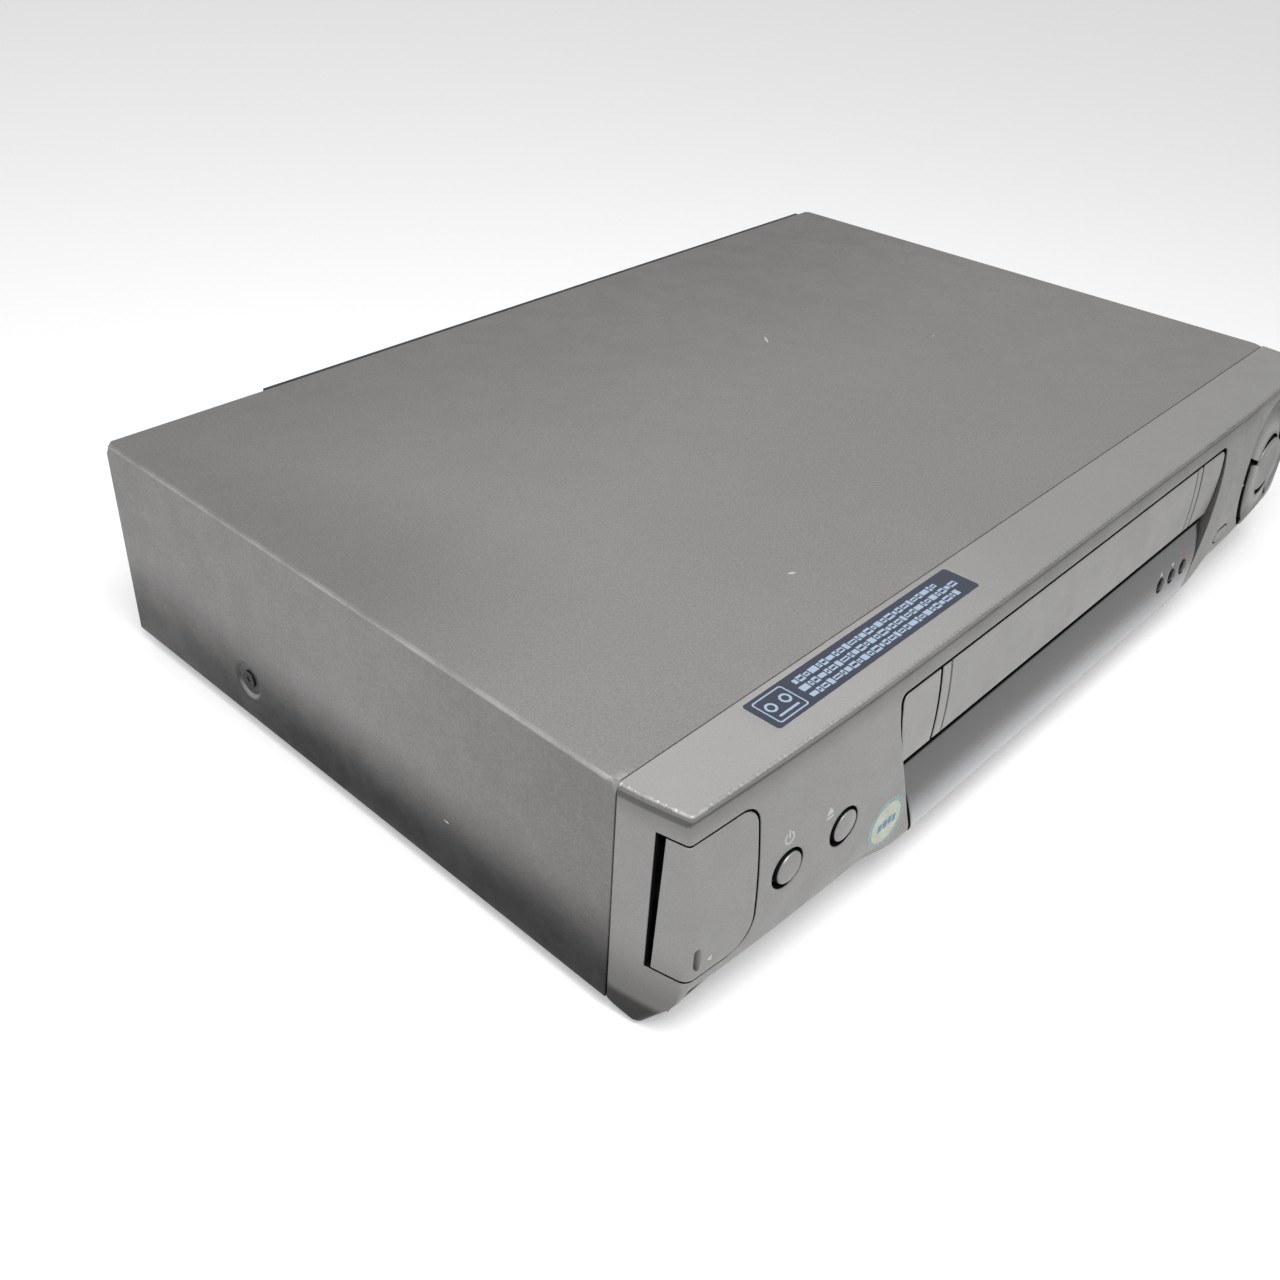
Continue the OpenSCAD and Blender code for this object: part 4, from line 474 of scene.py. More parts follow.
def inside(points, loop):
    x, y = points[:, 0], points[:, 1]
    hit = np.zeros(len(points), bool)
    x0, y0 = loop[:, 0], loop[:, 1]
    x1, y1 = np.roll(x0, -1), np.roll(y0, -1)
    for a, b, c, d in zip(x0, y0, x1, y1):
        if b != d:
            hit ^= ((b > y) != (d > y)) & (x < (c - a) * (y - b) / (d - b) + a)
    return hit


def skin(outline, holes, surface, rim=0.4, grid=2.0, rows=(), columns=(), extra=None, push=None, thick=2.0,
         wall=None, back=False, flip=False, step=1.2, bare=()):
    """A moulded wall with its outline and holes drawn in u and v. Its edges are rounded by rim, push is how
    far a point lies in from the surface, and thick is its thickness, or wall(which, uv, ends) gives where
    each edge ends. Edges of loops that aren't in bare are marked, so that they can be black as painted shade."""
    loops = [dense(outline, step)] + [dense(h, min(step, 0.8)) for h in holes]
    loops = [l if (area(l) > 0) == (k == 0) else l[::-1] for k, l in enumerate(loops)]
    rims = list(rim) if isinstance(rim, (list, tuple)) else [rim] * len(loops)
    points, edges = [], []
    for loop, r in zip(loops, rims):
        for share in (0.0, 0.12, 0.35, 0.65, 1.0) if r > 0 else (0.0,):
            base, n = len(points), len(loop)
            points.extend(offset(loop, r * share) if share else loop)
            edges.extend((base + k, base + (k + 1) % n) for k in range(n))
    low, high = loops[0].min(0), loops[0].max(0)
    us = np.unique(np.concatenate([np.arange(low[0] + grid / 2, high[0], grid), np.asarray(columns, float)]))
    vs = np.unique(np.concatenate([np.arange(low[1] + grid / 2, high[1], grid), np.asarray(rows, float)]))
    inner = np.stack(np.meshgrid(us, vs), -1).reshape(-1, 2)
    if extra is not None:
        inner = np.concatenate([inner, np.asarray(extra, float)])
    d, which = near(inner, loops)
    good = inside(inner, loops[0]) & (d > np.array(rims)[which] + 0.15)
    for h in loops[1:]:
        good &= ~inside(inner, h)
    points.extend(inner[good])
    out = delaunay_2d_cdt([Vector(p) for p in points], edges, [], 0, 1e-5)
    uv = np.array([tuple(p) for p in out[0]])
    tri = np.array([f for f in out[2] if len(f) == 3])
    mid = uv[tri].mean(1)
    keep = inside(mid, loops[0])
    for h in loops[1:]:
        keep &= ~inside(mid, h)
    a, b, c = (uv[tri[:, k]] for k in range(3))
    size = (b[:, 0] - a[:, 0]) * (c[:, 1] - a[:, 1]) - (b[:, 1] - a[:, 1]) * (c[:, 0] - a[:, 0])
    keep &= np.abs(size) > 1e-7
    tri = tri[keep]
    tri[size[keep] < 0] = tri[size[keep] < 0][:, ::-1]
    used = np.unique(tri)
    index = np.full(len(uv), -1)
    index[used] = np.arange(len(used))
    uv, tri = uv[used], index[tri]
    d, which = near(uv, loops)
    r = np.array(rims)[which]
    t = np.clip(r - d, 0, None)
    drop = r - np.sqrt(np.maximum(0, r * r - t * t))
    u, v = uv[:, 0], uv[:, 1]
    e = 0.02
    p = surface(u, v)
    n = np.cross(surface(u + e, v) - surface(u - e, v), surface(u, v + e) - surface(u, v - e))
    n /= np.maximum(1e-9, np.linalg.norm(n, axis=1))[:, None]
    if flip:
        n = -n
    if push is not None:
        drop = drop + push(u, v)
    verts = p + n * drop[:, None]
    faces = [tuple(f) if flip else tuple(f[::-1]) for f in tri]
    sides = dict.fromkeys((f[k], f[(k + 1) % 3]) for f in tri for k in range(3))
    rimmed = [(i, j) for i, j in sides if (j, i) not in sides]
    ids = sorted({i for side in rimmed for i in side})
    local = {i: len(verts) + k for k, i in enumerate(ids)}
    ends = p[ids] + n[ids] * thick
    if wall is not None:
        ends = wall(which[ids], uv[ids], ends)
    verts = np.concatenate([verts, ends])
    marks = [False] * len(faces)
    for i, j in rimmed:
        quad = (i, j, local[j], local[i])
        faces.append(quad if not flip else quad[::-1])
        marks.append(which[i] not in bare)
    if back:
        base = len(verts)
        rear = p + n * thick
        rear[ids] = ends
        verts = np.concatenate([verts, rear])
        faces += [tuple(i + base for i in (f[::-1] if flip else f)) for f in tri]
        marks += [False] * len(tri)
    return verts, faces, marks


def revolve(profile, centre, axis, n=48):
    """A turned form: the profile is a list of radius and height along the axis."""
    axis = Vector(axis).normalized()
    side = axis.orthogonal().normalized()
    other = axis.cross(side)
    verts, faces = [], []
    for r, h in profile:
        r = max(r, 1e-4)
        level = Vector(centre) + axis * h
        for k in range(n):
            a = 2 * math.pi * k / n
            verts.append(level + side * (r * math.cos(a)) + other * (r * math.sin(a)))
    for i in range(len(profile) - 1):
        for k in range(n):
            j = (k + 1) % n
            faces.append((i * n + k, i * n + j, (i + 1) * n + j, (i + 1) * n + k))
    return np.array([tuple(p) for p in verts]), faces


def rod(r, start, end):
    """The profile of a plain cylinder."""
    return [(0, start), (r, start), (r, end), (0, end)]


def rounded_box(low, high, r):
    """A box with its edges taken off: each corner becomes three points, one for each face."""
    low, high = np.array(low, float), np.array(high, float)
    corners = [(i, j, k) for i in (0, 1) for j in (0, 1) for k in (0, 1)]
    verts, index, faces = [], {}, []
    for at in corners:
        tip = np.where(at, high, low)
        for axis in range(3):
            p = tip + np.where(at, -1, 1) * r
            p[axis] = tip[axis]
            index[(*at, axis)] = len(verts)
            verts.append(p)

    def vertex(axis, place, which):
        """The point of the corner at this place, which is given along axis and then along the other two."""
        at = list(place[1:])
        at.insert(axis, place[0])
        return index[(*at, which)]

    for axis in range(3):
        for side in (0, 1):
            faces.append(tuple(vertex(axis, (side, i, j), axis) for i, j in ((0, 0), (1, 0), (1, 1), (0, 1))))
    for axis in range(3):
        b, c = [k for k in range(3) if k != axis]
        for i in (0, 1):
            for j in (0, 1):
                faces.append(tuple(vertex(axis, (end, i, j), which)
                                   for end, which in ((0, b), (0, c), (1, c), (1, b))))
    for at in corners:
        faces.append(tuple(index[(*at, axis)] for axis in range(3)))
    return np.array(verts), faces


def arc(cx, cy, r, a0, a1, n=8):
    angles = [math.radians(a0 + (a1 - a0) * k / n) for k in range(n + 1)]
    return [(cx + r * math.cos(a), cy + r * math.sin(a)) for a in angles]


def circle(cx, cy, r, n=56):
    return arc(cx, cy, r, 0, 360, n)[:-1]


def stadium(cx, cs, w, h, n=14):
    half = (w - h) / 2
    return moved(arc(half, 0, h / 2, -90, 90, n) + arc(-half, 0, h / 2, 90, 270, n), cx, cs)


def rect(x0, x1, s0, s1, r=0.0):
    if not r:
        return [(x0, s0), (x1, s0), (x1, s1), (x0, s1)]
    return (arc(x1 - r, s0 + r, r, -90, 0, 5) + arc(x1 - r, s1 - r, r, 0, 90, 5)
            + arc(x0 + r, s1 - r, r, 90, 180, 5) + arc(x0 + r, s0 + r, r, 180, 270, 5))


def moved(points, x, s, k=1.0):
    return [(x + k * a, s + k * b) for a, b in points]


# ---- the moulded face

FACE_Y = -24.0  # the face at its middle, before it bulges
END_FALL = 2.7  # how far its ends fall back
BULGE = 5.3
LIP_R = 0.9  # how far the lip stands out, and the rounding of its edge
LIP_FOOT = 2.7  # s where the lip ends
RECESS_TOP = 9.1
RECESS_FOOT = 77.5  # the recess's foot, and the panel's between its corners
SIDE_FOOT = 82.0  # foot of the panel's sides, behind its corners
CORNER_FOOT = 85.0
DOOR_TOP, DOOR_FOOT = 10.3, 37.5
LIP_ROWS = [0, .08, .18, .3, .45, .65, .9, 1.3, 1.7, 2, 2.2, 2.4, 2.6, 2.75, 2.9, 3.1, 3.4]


def ease(t):
    t = np.clip(t, 0, 1)
    return t * t * (3 - 2 * t)


def fall(x):
    """Share of the fall towards the ends."""
    return np.maximum(0, (np.abs(x) - 115) / 95) ** 2 + 0.04 * (x / 115) ** 2


def swell(s):
    """Share of the bulge, which is full from 53 mm down."""
    return np.where(s < 53, 1 - ((53 - s) / 50) ** 2, 1)


def tuck(d, r):
    """How far a bend of radius r has gone back at d below its start. Past 40 degrees it runs on steeply."""
    bend = np.clip(d, 0, 0.64 * r)
    slope = 0.64 / math.sqrt(1 - 0.64 ** 2)
    past = np.maximum(0, d - bend)
    return np.where(d <= 0, 0, r - np.sqrt(r * r - bend * bend) + past * (slope + 0.004 * past))


def face_y(x, s):
    part = ease((np.abs(x) - 108) / 24)
    end = ease((np.abs(x) - 207) / 3)
    start = 66 - 8.8 * part + 6.0 * end
    return (FACE_Y + END_FALL * fall(x) - (BULGE - 1.3 * fall(x)) * swell(np.maximum(s, 3))
            + tuck(s - start, 12 + 10 * part - 2 * end))


def face_at(x, s):
    return float(face_y(np.array(x), np.array(s)))


def lip_round(s):
    """How far the rounding of the upper edge takes a point in."""
    return LIP_R - np.sqrt(np.maximum(0, LIP_R ** 2 - np.maximum(0, LIP_R - s) ** 2))


def front_y(x, s):
    under = np.where(s > 2, 0.8 * (np.maximum(0, s - 2) / 0.8) ** 2, 0)
    lip = FACE_Y - LIP_R + END_FALL * fall(x) + (lip_round(s) + under)
    t = np.clip((s - LIP_FOOT) / 0.5, 0, 1)
    return np.where(s < LIP_FOOT, lip, lip * (1 - t) + face_y(x, s) * t)


def side_x(y):
    return 214.5 - 4.5 * np.minimum(1, np.maximum(0, -y) / 24) ** 1.25


def corner(s):
    """Where the face meets the side."""
    x = np.full_like(s, 210.3)
    for _ in range(4):
        x = side_x(front_y(x, s))
    return x, front_y(x, s)


def wrap(u, s):
    """The face, the rounded corner and the side as one surface. On the face u is x."""
    u, s = np.asarray(u, float), np.asarray(s, float)
    cx, cy = corner(s)
    sign = np.where(u < 0, -1.0, 1.0)
    q = np.abs(u) - cx
    soft = 1.1 + 2.2 * np.clip((s - 8) / 50, 0, 1)
    edge = np.maximum(0, lip_round(s))
    fx = cx + np.minimum(q, -soft)
    fy = front_y(fx, s)
    gy = cy + np.maximum(q, soft)
    gx = side_x(np.minimum(gy, 0)) - edge
    t = np.clip((q + soft) / (2 * soft), 0, 1)
    x = (1 - t) ** 2 * fx + 2 * t * (1 - t) * (cx - edge * 0.5) + t ** 2 * gx
    y = (1 - t) ** 2 * fy + 2 * t * (1 - t) * cy + t ** 2 * gy
    return np.stack([sign * x, y, TOP - s], -1)


def side_u(y, s):
    """The u of a point on the left side at y."""
    cx, cy = corner(np.asarray(s, float))
    return float(-(cx + (y - cy)))


def side_line(start, end, n):
    """Points on the left side in a straight line, from and to a y and an s."""
    (y0, s0), (y1, s1) = start, end
    return [(side_u(y0 + (y1 - y0) * (s - s0) / (s1 - s0), s), float(s)) for s in np.linspace(s0, s1, n)]


def recess_x(s):
    return 119.3 - 0.0756 * np.maximum(0, s - 18) ** 1.35


def door_y(s):
    return -26.5 + (s - 30) ** 2 / 300


def window_y(s):
    return -29.38 + (np.minimum(s, 67) - 64) ** 2 / 148 + tuck(s - 67, 11)


def recess_loop(grow, s0, s1, r, low_r=0.0):
    """The waisted outline of the recess from s0 to s1, larger by grow, with corners of radius r and low_r."""
    xs = [(recess_x(s) + grow, s) for s in np.linspace(s0 + r + 0.4, s1 - low_r - 0.2, 26)]
    tip = arc(recess_x(s0) + grow - r, s0 + r, r, -90, 0, 6)
    foot = [(recess_x(s1) + grow, s1)]
    if low_r:
        foot = arc(recess_x(s1) + grow - low_r, s1 - low_r, low_r, 0, 90, 5)
    right = tip + xs + foot
    return right + [(-x, s) for x, s in right[::-1]]


def flap_end(gap, top, foot):
    """The rounded inner end of the jack flap, or with a gap that of its opening."""
    return arc(-190.5, 16.8, 6 + gap, -90, 0, top) + arc(-194.5, 50, 10 + gap, 0, 90, foot)


# The face and sides of the front panel.
left_edge = side_line((0, 0), (0, SIDE_FOOT), 64)
for y in (1, 2.5, 4.5, 6.5, 9):
    s = SIDE_FOOT + (CORNER_FOOT - SIDE_FOOT) * (y / 9) ** 0.8
    left_edge.append((side_u(-y, s), s))
left_edge += [(-206.5, CORNER_FOOT), (-205.5, CORNER_FOOT - 0.3), (-204.8, CORNER_FOOT - 1),
              (-203, RECESS_FOOT + 0.4), (-202, RECESS_FOOT)]
outline = left_edge + [(-u, s) for u, s in left_edge[::-1]]
holes = [recess_loop(0, RECESS_TOP, RECESS_FOOT, 3.0),
         flap_end(0.8, 8, 8) + side_line((-11.4, 60.8), (-12.0, 10.0), 24),
         circle(*POWER, 6.8), circle(*EJECT, 6.8), stadium(TIMER_X, TIMER_S, 14.3, 6.8, 8),
         circle(CX, CS, 29.5, 120)]


def recess_depth(s):
    """How far back the recess's wall is silver; behind that it is black, as painted shade."""
    return np.where(s < 39, door_y(s) + 0.4, window_y(s) + 1.8)


def panel_wall(which, uv, ends):
    """Where each edge of the face goes back to: the recess's goes straight back."""
    out = ends.copy()
    rec = which == 1
    s = uv[rec, 1]
    out[rec] = np.stack([np.clip(uv[rec, 0], -recess_x(s), recess_x(s)), recess_depth(s), TOP - s], -1)
    return out


panel = Piece("front_shell")
# The walls of the holes are black, a painted shade; those of the outline and the recess stay silver.
panel.add(skin(outline, holes, wrap, rim=[0.0, 0.45, 0.3, 0.35, 0.35, 0.3, 0.4], grid=2.2,
               rows=LIP_ROWS + list(np.arange(55, 85, 1.4)),
               columns=[x for k in (-1, 1) for x in np.linspace(k * 205, k * 215.5, 19)],
               thick=2.4, wall=panel_wall, step=1.0, bare=(0, 1)), 0, 1)
# A black band behind the recess's silver wall: painted shade deep in the recess.
around = dense(holes[0], 0.8)
front_edge = np.stack([around[:, 0], recess_depth(around[:, 1]) - 0.02, TOP - around[:, 1]], -1)
rear_edge = front_edge.copy()
rear_edge[:, 1] = -19.0
count = len(around)
panel.add((np.concatenate([front_edge, rear_edge]),
           [(k, (k + 1) % count, (k + 1) % count + count, k + count) for k in range(count)]), 1)

# The strip on top, from the lip as far as the seam, with a shallow bed for the label.
us = np.concatenate([np.linspace(-232, -205, 60), np.linspace(-204, 204, 150), np.linspace(205, 232, 60)])
lip_line = wrap(us, np.zeros_like(us))
lip_line = lip_line[lip_line[:, 1] <= 0.02]
lip_line[:, 1] = np.minimum(lip_line[:, 1], 0)
strip_loop = [tuple(p[:2]) for p in lip_line]
strip_loop = strip_loop[:1] + [b for a, b in zip(strip_loop, strip_loop[1:])
                               if math.hypot(a[0] - b[0], a[1] - b[1]) > 0.05]
strip_loop = [(strip_loop[0][0], 0.0)] + strip_loop[1:-1] + [(strip_loop[-1][0], 0.0)]
BED_X, BED_Y = (-167.6, -61.4), (-16.1, -1.4)


def level(z):
    """A level surface at this height."""
    return lambda x, y: np.stack([x, y, np.full_like(x, z)], -1)


def label_bed(x, y):
    room = np.minimum(np.minimum(x - BED_X[0], BED_X[1] - x), np.minimum(y - BED_Y[0], BED_Y[1] - y))
    return 0.08 * np.clip(room / 0.3, 0, 1)


panel.add(skin(strip_loop, [], level(TOP - 0.001), rim=0.0, grid=4.0, thick=0.0, flip=True, step=3.0,
               push=label_bed, columns=[-167.6, -167.3, -61.7, -61.4], rows=[-16.1, -15.8, -1.7, -1.4]))
panel.build("cabinet", ["silver", "gap"], "silver_plastic", ["front_panel"], sharp=50)


# ---- door, trims and window

GROOVE_X = 91  # the door's two grooves
PIN_Y, PIN_S = -21.5, 11.7
TRIM_X = 97.3  # inner edge of the trims


def door_face(x, s):
    return np.stack([x, door_y(s), TOP - s], -1)


def grooves(u, v):
    d = np.min([np.abs(u - p) for p in (-GROOVE_X, GROOVE_X)], axis=0)
    along = np.clip((v - 10.8) / 0.8, 0, 1) * np.clip((36.6 - v) / 0.8, 0, 1)
    return 0.5 * np.clip(1 - d / 0.6, 0, 1) * along


door = Piece("door_shell")
door.add(skin(rect(-95.8, 95.8, DOOR_TOP, DOOR_FOOT), [], door_face, rim=0.35, grid=3.0,
              columns=[p + d for p in (-GROOVE_X, GROOVE_X) for d in (-0.6, -0.4, -0.2, 0, 0.2, 0.4, 0.6)],
              push=grooves, thick=2.0, back=True, step=2.0), 0, 1)
door.add(revolve([(0, -105.5), (1.2, -105.5), (1.2, -96), (1.9, -96), (1.9, 96), (1.2, 96), (1.2, 99.5),
                  (0, 99.5)], (0, PIN_Y, TOP - PIN_S), (1, 0, 0), 32))
for x in (-60, 0, 60):
    door.add(rounded_box((x - 0.8, -25, TOP - 33.5), (x + 0.8, -22.6, TOP - 14), 0.2))
door.build("door", ["door", "gap"], "door_silver", ["cassette_door"])

for sign, name in ((-1, "left_trim"), (1, "right_trim")):
    loop = [(TRIM_X, DOOR_TOP)] + arc(recess_x(9.5) - 4.7, 13.1, 2.8, -90, 0, 6)
    loop += [(recess_x(s) - 1.9, s) for s in np.linspace(12.9, DOOR_FOOT, 18)][1:] + [(TRIM_X, DOOR_FOOT)]
    trim = Piece(name + "_shell")
    trim.add(skin([(sign * x, s) for x, s in loop], [], door_face, rim=0.35, grid=2.5, thick=2.0, back=True,
                  step=1.5), 0, 1)
    # Black blocks behind the trim's outer edge: painted shade in the gap to the recess's wall.
    for outer, y, s0, s1 in ((99.0, -14, 17, 36), (101.5, -18.5, 10.31, 18)):
        a, b = sorted((sign * TRIM_X, sign * outer))
        trim.add(rounded_box((a, -24, TOP - s1), (b, y, TOP - s0), 0.25), 1)
    trim.build("cabinet", ["door", "gap"], "door_silver", [name])


def window_face(x, s):
    return np.stack([x, window_y(s), TOP - s], -1)


window = Piece("window_shell")
window.add(skin(recess_loop(-1.3, 40.5, 77.3, 1.0, 1.0), [circle(x, DOT_S, 3.3, 40) for _, x in DOTS],
                window_face, rim=[0.35, 0.25, 0.25, 0.25], grid=2.0, rows=np.arange(66, 77, 0.8), thick=2.2,
                back=True, step=1.2), 0, 1)
window.build("cabinet", ["window", "gap"], "window_smoke", ["display_window"])


# ---- jack flap

NOTCH_U, NOTCH_S = -207.8, 52.3


def notch(u, v):
    """The finger notch: a straight steep side at the corner and a scoop that rises away from it."""
    tall = np.sqrt(np.maximum(0, 1 - ((v - NOTCH_S) / 4.8) ** 2))
    across = (u - NOTCH_U) / np.maximum(0.3, 3.4 * tall)
    steep = np.clip((u - NOTCH_U) / 0.25 + 1, 0, 1)
    return 0.9 * tall * steep * np.clip(1 - across, 0, 1)


patch = np.stack(np.meshgrid(np.arange(-208, -203.4, 0.18), np.arange(46.8, 57.4, 0.3)), -1).reshape(-1, 2)
flap = Piece("flap_shell")
flap.add(skin(flap_end(0, 9, 11) + side_line((-13.4, 60.0), (-15.0, 10.8), 26), [], wrap, rim=0.4, grid=2.0,
              columns=np.linspace(-216, -204, 22), extra=patch, push=notch, thick=2.2, back=True, step=1.0),
         0, 1)
flap.add(revolve([(0, 0), (1.2, 0), (1.2, 3.1), (1.9, 3.1), (1.9, 52.1), (1.2, 52.1), (1.2, 53.5), (0, 53.5)],
                 (-208.8, -15.5, TOP - 63), (0, 0, 1), 32))
flap.build("flap", ["silver", "gap"], "silver_plastic", ["av_flap"])


# ---- keys

def dome_profile(r, rise, depth, edge):
    """A cap's profile: a skirt of this depth and a dome that starts at edge below its middle."""
    top = [(r * math.cos(a), -edge + (rise + edge) * math.sin(a)) for a in map(math.radians, range(9, 91, 9))]
    return [(0, -depth), (r, -depth), (r, -edge)] + top


def add_stem(piece, x, y, s, r=2.4):
    piece.add(revolve(rod(r, 0, BOARD_Y - y), (x, y, TOP - s), (0, 1, 0), 24))


def build_key(piece, name, mats=("silver", "gap"), slot="silver_plastic"):
    piece.build(name + "_key", mats, slot, [name + "_button"])


for name, (x, s) in (("power", POWER), ("eject", EJECT)):
    y = face_at(x, s)
    cap = (x + 0.3, y - 0.4, TOP - s + 0.3)
    key = Piece(name + "_cap")
    key.add(revolve(dome_profile(5.3, min(1.3, y - 0.4 - FOREMOST), 0.9, 0.35), cap, (0, -1, 0), 64), 0)
    # The cap's skirt is black: painted shade in the gap round the cap.
    key.add(revolve(rod(5.32, -4.5, -0.5), cap, (0, -1, 0), 64), 1)
    key.add(revolve(rod(8.2, 0, 1.3), (x, y + 3.7, TOP - s), (0, 1, 0), 48))
    add_stem(key, x, y + 3.8, s)
    build_key(key, name)

for name, x in DOTS:
    y = float(window_y(np.array(DOT_S)))
    key = Piece(name + "_cap")
    key.add(revolve(dome_profile(2.8, min(1.0, y + 0.1 - FOREMOST), 3.3, 0.5), (x, y + 0.1, TOP - DOT_S),
                    (0, -1, 0), 40))
    key.add(revolve(rod(3.7, 0, 1), (x, y + 3.2, TOP - DOT_S), (0, 1, 0), 32))
    add_stem(key, x, y + 3.4, DOT_S, 1.6)
    build_key(key, name, ["key_black"], "key_black")

pill_y = face_at(TIMER_X, TIMER_S)


def pill_face(x, s):
    return np.stack([x, np.full_like(x, pill_y - 0.3) + 0.02 * ((x - TIMER_X) / 3) ** 2, TOP - s], -1)


def pill_flange(x, s):
    return pill_face(x, s) + np.array([0, 4.0, 0])


timer = Piece("timer_cap")
timer.add(skin(stadium(TIMER_X, TIMER_S, 12.6, 5.2), [], pill_face, rim=0.4, grid=0.8, thick=4.0, back=True,
               step=0.5), 0, 1)
timer.add(skin(stadium(TIMER_X, TIMER_S, 15, 7.5), [], pill_flange, rim=0.0, grid=2.0, thick=1.3, back=True,
               step=1.0))
add_stem(timer, TIMER_X, pill_y + 3.8, TIMER_S)
build_key(timer, "timer")

# The round cluster: each pad's name, middle and half angle in degrees, outer radius, depth and dish.
PADS = (("play", 90, 65.5, 28.6, 0.1, 1.6), ("rewind", 196, 34.5, 26.6, -1.0, 0.6),
        ("stop", 270, 33.5, 28.6, -0.6, 0.5), ("fast_forward", 344, 34.5, 28.6, -0.3, 0.4))
PAD_R = 22  # the deepest line of the pads' dish, where their stems are
ROUND = 0.7  # rounding of the pads' corners


def sector_loop(mid, half, r0, r1):
    """A ring sector with its corners rounded, seen from the front."""
    def point(r, a):
        return CX + r * math.cos(math.radians(a)), CS - r * math.sin(math.radians(a))

    loop = []
    n = 26 if half > 50 else 16
    for r, other, sign in ((r1, r0, 1), (r0, r1, -1)):
        ca = math.degrees(ROUND / r)
        for k in range(n + 1):
            loop.append(point(r, mid + sign * (-half + ca + (2 * half - 2 * ca) * k / n)))
        inward = r - sign * ROUND
        loop.append(point((r + inward) / 2 + sign * 0.2 * ROUND, mid + sign * (half - 0.25 * ca)))
        loop.append(point(inward, mid + sign * half))
        loop.append(point(other + sign * ROUND, mid + sign * half))
        loop.append(point(other + sign * 0.3 * ROUND, mid + sign * (half - 0.25 * ca)))
    out = [loop[0]]
    for p in loop[1:]:
        if math.hypot(p[0] - out[-1][0], p[1] - out[-1][1]) > 0.05:
            out.append(p)
    return out


def pad_face(sunk, dish):
    def surface(x, s):
        hollow = dish * np.maximum(0, 1 - ((np.hypot(x - CX, s - CS) - PAD_R) / 7.5) ** 2)
        return np.stack([x, np.minimum(face_y(x, s) + sunk + hollow, PAD_BACK - 0.3), TOP - s], -1)
    return surface


def to_back(_, uv, ends):
    """The pads' edges all go straight back to one plane."""
    return np.stack([uv[:, 0], np.full(len(ends), PAD_BACK), TOP - uv[:, 1]], -1)


for name, mid, half, outer, sunk, dish in PADS:
    a = math.radians(mid)
    pad = Piece(name + "_cap")
    pad.add(skin(sector_loop(mid, half, 13.9, outer), [], pad_face(sunk, dish), rim=0.35, grid=1.4, thick=3.0,
                 wall=to_back, step=0.7), 0, 1)
    add_stem(pad, CX + PAD_R * math.cos(a), PAD_BACK, CS - PAD_R * math.sin(a))
    build_key(pad, name)

mid_y = face_at(CX, CS) - 0.5
pause = Piece("pause_cap")
pause.add(revolve([(0, -1.3), (12.5, -1.3), (12.5, -0.9), (12.42, -0.6), (12.2, -0.3), (11.85, -0.08),
                   (11.4, 0.0), (10.9, 0.0), (10.4, -0.08), (9.5, -0.3), (8.0, -0.62), (6.5, -0.85),
                   (4.6, -1.02), (2.3, -1.12), (0, -1.15)], (CX, mid_y, TOP - CS), (0, -1, 0), 96))
depth = PAD_BACK - mid_y
# Its side is black: painted shade in the gap round the key.
pause.add(revolve([(0, -depth), (12.52, -depth), (12.52, -0.9), (11.6, -1.35), (0, -1.35)],
                  (CX, mid_y, TOP - CS), (0, -1, 0), 96), 1)
add_stem(pause, CX, PAD_BACK, CS)
build_key(pause, "pause")


# ---- label, sticker and printed marks

def decal(piece, loop, surface, mat, lift=0.03, grid=1.0, flip=False, holes=()):
    """A thin printed shape lying on a surface."""
    piece.add(skin(loop, list(holes), surface, rim=0.0, grid=grid, thick=0.01, flip=flip, step=0.6,
                   push=lambda u, v: np.full(np.shape(u), -lift)), mat)


label = Piece("care_label")


def on_label(loop, mat=1, lift=0.02, grid=3.0, holes=()):
    decal(label, loop, level(TOP - 0.05), mat, lift, grid, True, holes)


# A frame with two rings and a bar, and three lines of bars in place of words.
on_label(rect(-167, -62, -15.5, -2, 1.2), 0, 0.0, 4.0)
on_label(rect(-164.6, -151.4, -14.2, -3.3, 1.0), holes=[rect(-164.1, -151.9, -13.7, -3.8, 0.7)])
for x in (-161.2, -154.8):
    on_label(circle(x, -8.0, 2.0, 28), grid=1.5, holes=[circle(x, -8.0, 1.2, 24)])
on_label(rect(-162.4, -153.6, -12.4, -11.6), grid=2.0)
for line, (start, end) in enumerate(((-147.5, -75.0), (-148.5, -68.0), (-148.5, -71.0))):
    x, k = start, line * 3
    y = -5.4 - 3.5 * line
    while x < end:
        width = (1.5, 2.6, 1.9, 3.4, 1.3, 2.2, 2.9)[k % 7]
        tall = (1.0, 1.25, 0.85, 1.15)[k % 4]
        on_label(rect(x, x + width, y - tall, y + tall))
        if k % 3:
            on_label(rect(x + 0.35, x + width - 0.35, y - tall * 0.35, y + tall * 0.3), 0, 0.035)
        x += width + 0.55
        k += 1
label.build("cabinet", ["label", "label_ink"], None)

sticker = Piece("round_sticker")
decal(sticker, circle(-121.2, 55.0, 9.8, 60), wrap, 0, 0.05, 1.2)
decal(sticker, circle(-121.2, 55.0, 7.7, 50), wrap, 1, 0.08, 1.2)
for x, width, ds in ((-125.6, 2.0, 0.3), (-123, 2.2, 0.0), (-120.2, 1.8, -0.3), (-117.8, 1.7, 0.2)):
    decal(sticker, rect(x, x + width, 53.6 + ds, 56.8 + ds), wrap, 2, 0.11, 0.8)
sticker.build("cabinet", ["sticker", "sticker_mid", "sticker_ink"], None)

